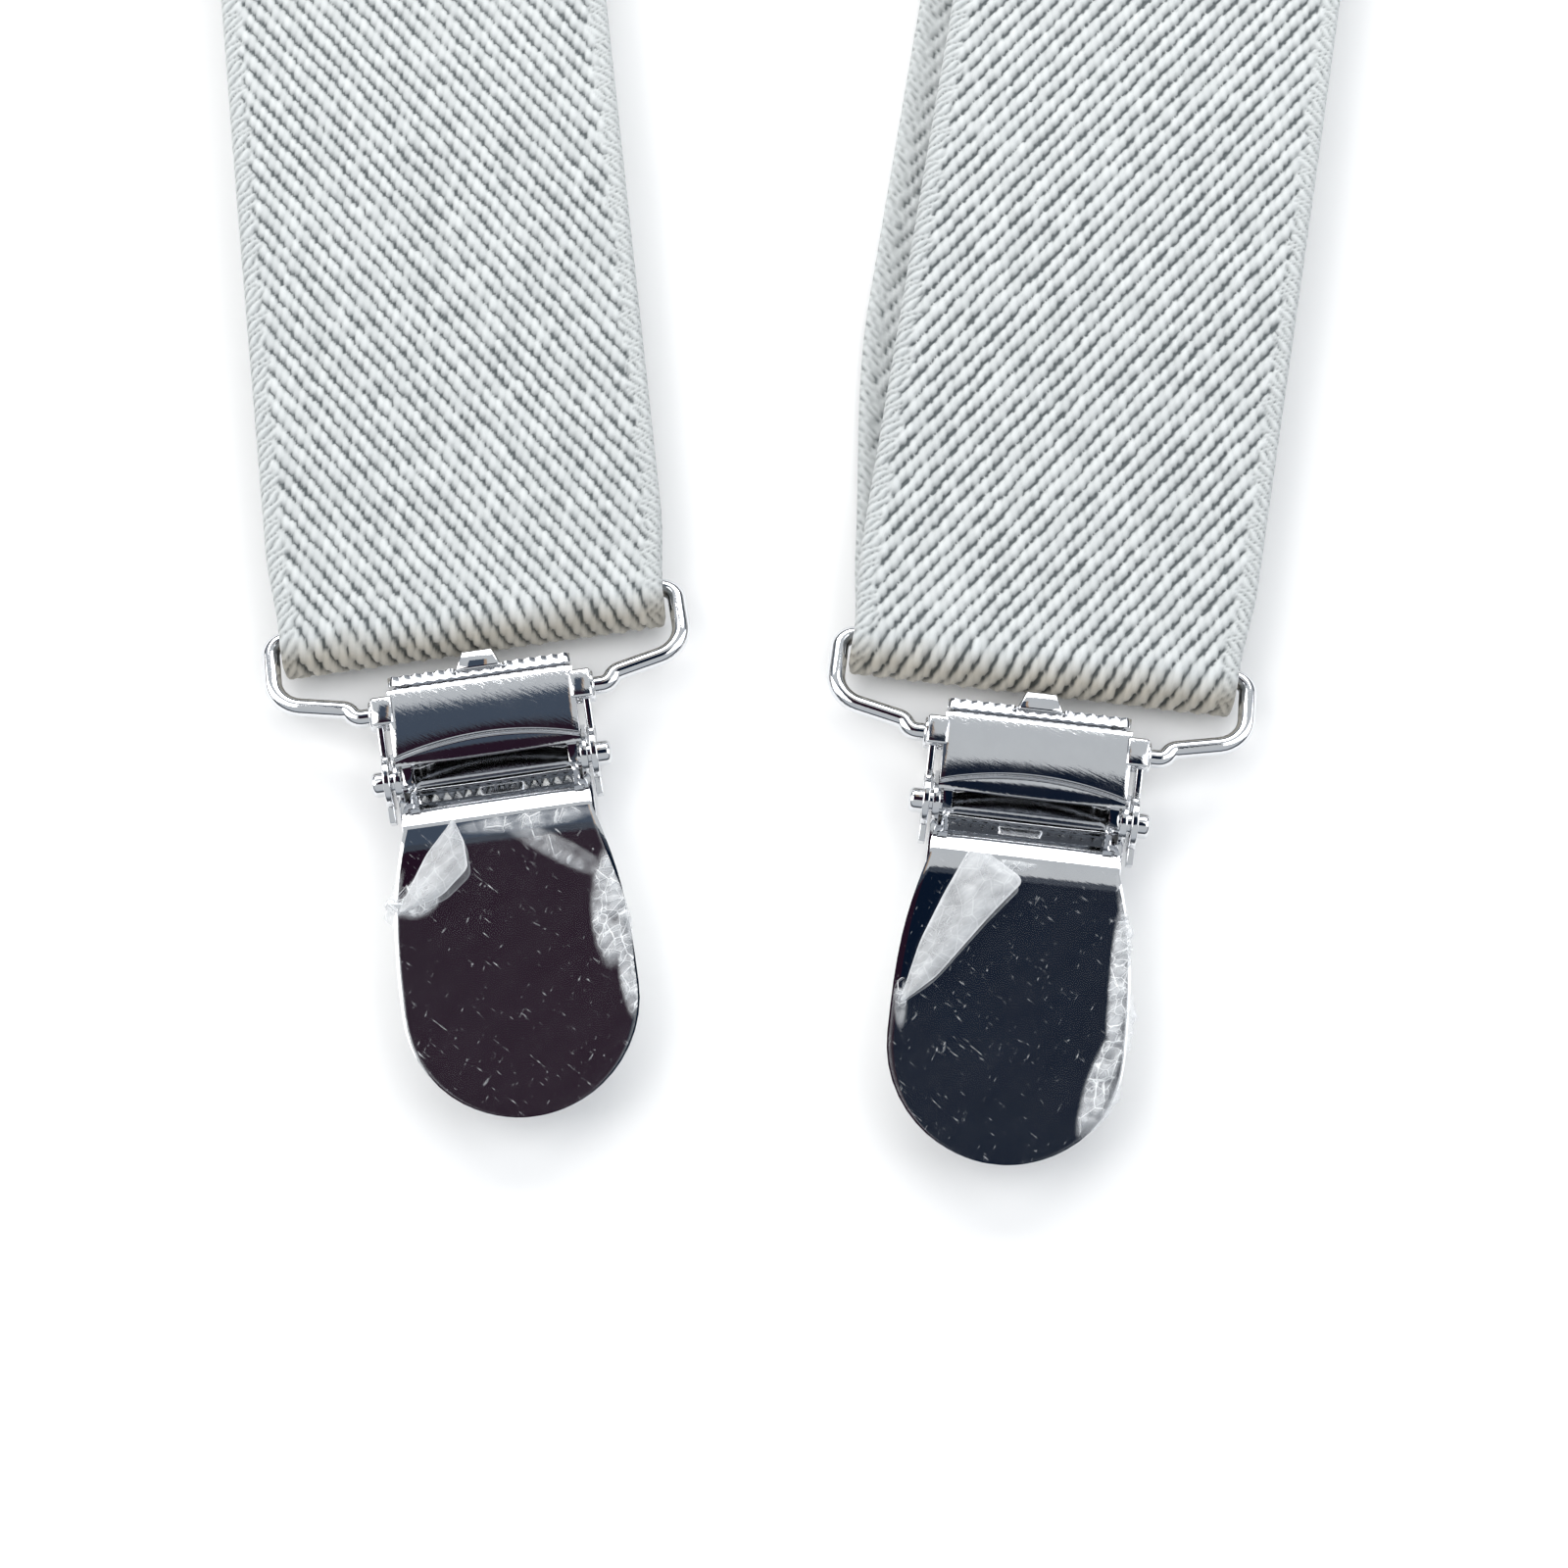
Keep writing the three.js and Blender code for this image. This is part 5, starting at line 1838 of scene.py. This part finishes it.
# ------------------------------------------------------------------ stage
@dataclass(frozen=True)
class Studio:
    """Pale floor, soft lamps, and dark cards that only polished faces see."""

    elevation: float = 77.0
    distance: float = 0.26
    lens: float = 68.7
    offset: Point = (0.00227, -0.01354, 0.003)
    card_height: float = 0.40
    lamps: tuple = (
        ("left", (-0.55, 0.10, 0.45), (0.5, 0.8), 3.0, (1.0, 0.98, 0.96)),
        ("right", (0.55, 0.10, 0.45), (0.5, 0.8), 2.2, (0.97, 0.98, 1.0)),
        ("top", (0.0, 0.50, 0.34), (0.7, 0.25), 2.6, (1.0, 0.99, 0.97)))
    cards: tuple = (
        ("left", (-0.075, 0.02), (0.15, 0.21), (0.019, 0.0075, 0.018)),
        ("right", (0.075, 0.02), (0.15, 0.21), (0.0035, 0.009, 0.023)),
        ("far", (0.0, 0.135), (0.30, 0.02), (0.055, 0.065, 0.085)),
        ("blue", (-0.092, 0.215), (0.116, 0.14), (0.06, 0.08, 0.115)),
        ("warm", (-0.024, 0.215), (0.020, 0.14), (0.45, 0.33, 0.24)))

    def aim(self, thing: bpy.types.Object, target: Vector) -> None:
        """Turn an object's -Z axis towards a point."""
        thing.rotation_euler = (target - thing.location).to_track_quat("-Z", "Y").to_euler()

    def target(self) -> Vector:
        """The point that the camera looks at, between the two front clips."""
        left = Vector(joint("left_bail_swing")["pos_m"])
        right = Vector(joint("right_bail_swing")["pos_m"])
        middle = (left + right) / 2.0
        return Vector((middle.x + self.offset[0], middle.y + self.offset[1], self.offset[2]))

    def lamp(self, name: str, place: Point, size: tuple[float, float], power: float, tint: Point) -> None:
        """Add a soft rectangular lamp aimed at the clips.

        Args:
            name: the lamp's name.
            place: its offset from the camera's target, in metres.
            size: its width and height.
            power: its power in watts.
            tint: its colour.
        """
        data = bpy.data.lights.new(name, "AREA")
        data.shape = "RECTANGLE"
        data.size, data.size_y = size
        data.energy = power
        data.color = tint
        thing = link_new(name, data)
        thing.location = self.target() + Vector(place)
        self.aim(thing, self.target())

    def card(self, name: str, place: Point, size: tuple[float, float], colour: Point) -> None:
        """Add a card that only reflections see.

        Args:
            name: the card's name.
            place: its offset from the camera's target, in metres.
            size: its width and depth.
            colour: what it looks like in a reflection.
        """
        deselect()
        bpy.ops.mesh.primitive_plane_add(size=1.0, location=self.target() + Vector(place))
        thing = bpy.context.active_object
        thing.name = name
        thing.scale = (size[0], size[1], 1.0)
        bpy.ops.object.transform_apply(location=False, rotation=False, scale=True)
        nodes = Nodes(name)
        nodes.set(Base_Color=(0.0, 0.0, 0.0, 1.0), Roughness=1.0, Specular_IOR_Level=0.0,
                  Emission_Color=(*colour, 1.0), Emission_Strength=1.0)
        dress(thing, nodes.material)
        thing.visible_camera = False
        thing.visible_diffuse = False
        thing.visible_shadow = False
        thing.visible_transmission = False

    def sky(self, tree: bpy.types.NodeTree) -> None:
        """Shade the surroundings: dim near the horizon, bright above it.

        Args:
            tree: the world's node tree.
        """
        background = tree.nodes["Background"]
        background.inputs["Strength"].default_value = 0.62
        split = tree.nodes.new("ShaderNodeSeparateXYZ")
        tree.links.new(tree.nodes.new("ShaderNodeTexCoord").outputs["Generated"], split.inputs[0])
        shade = tree.nodes.new("ShaderNodeValToRGB")
        tree.links.new(split.outputs[2], shade.inputs[0])
        fill_ramp(shade, ((0.0, (0.30, 0.30, 0.31)), (0.10, (0.10, 0.11, 0.13)), (0.26, (0.16, 0.18, 0.21)),
                          (0.40, (0.85, 0.90, 0.96)), (1.0, (0.95, 0.98, 1.0))))
        tree.links.new(shade.outputs[0], background.inputs["Color"])

    def build(self) -> None:
        """Lay the floor, hang the lamps and cards, and set the camera."""
        target = self.target()
        deselect()
        bpy.ops.mesh.primitive_plane_add(size=4.0, location=(target.x, target.y, -0.0002))
        floor = bpy.context.active_object
        floor.name = "floor"
        nodes = Nodes("pale_floor")
        tone = nodes.noise(nodes.place(), 3.0, 2.0)
        nodes.set(Base_Color=nodes.ramp(tone, [(0.3, (0.93, 0.93, 0.93)), (0.7, (0.95, 0.95, 0.95))]),
                  Roughness=0.9, Specular_IOR_Level=0.1)
        dress(floor, nodes.material)
        world = bpy.data.worlds.new("room")
        bpy.context.scene.world = world
        world.use_nodes = True
        self.sky(world.node_tree)
        for name, place, size, power, tint in self.lamps:
            self.lamp(f"lamp_{name}", place, size, power, tint)
        for name, place, size, colour in self.cards:
            self.card(f"card_{name}", (*place, self.card_height), size, colour)
        data = bpy.data.cameras.new("camera")
        data.lens = self.lens
        data.sensor_width = 36.0
        data.clip_start = 0.01
        camera = link_new("camera", data)
        rise = math.radians(self.elevation)
        camera.location = target + self.distance * Vector((0.0, -math.cos(rise), math.sin(rise)))
        self.aim(camera, target)
        bpy.context.scene.camera = camera
        bpy.context.scene.view_settings.view_transform = "Standard"


def main() -> None:
    """Build the suspenders and the studio, and log the strap and clip pieces."""
    palette = Palette()
    for side in (Side.LEFT, Side.RIGHT):
        for piece in FrontStrap(palette, side=side).build():
            log.info("%s: %d faces", piece.name, len(piece.data.polygons))
    log.info("%s laid", BackStrap(palette).build().name)
    for side in Side:
        name = side.value
        for made in (WireBail(), Cover(), Lever(), Film()):
            log.info("%s modelled", made.build(side, palette).name)
        RefinedNode(f"jaw_{name}", f"{name}_jaw", "chrome", 0.12).build(palette.chrome)
        RefinedNode(f"grip_pad_{name}", f"{name}_jaw", "grip_pad", 0.1).build(palette.nylon)
    for name in ("left", "right"):
        RefinedNode(f"slide_{name}", f"{name}_slide", "chrome", 0.35, 3).build(palette.chrome)
    for layer in ("outer", "lining"):
        RefinedNode(f"patch_{layer}", "webbing", "leather", 0.4, 3).build(palette.leather)
    seam = patch_outline("patch_lining", inset_mm=3.0, height_mm=0.05)
    Seam("seam_patch").build(seam, "webbing", "leather", palette.dark_thread, closed=True)
    Studio().build()
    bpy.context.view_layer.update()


if __name__ == "__main__":
    main()
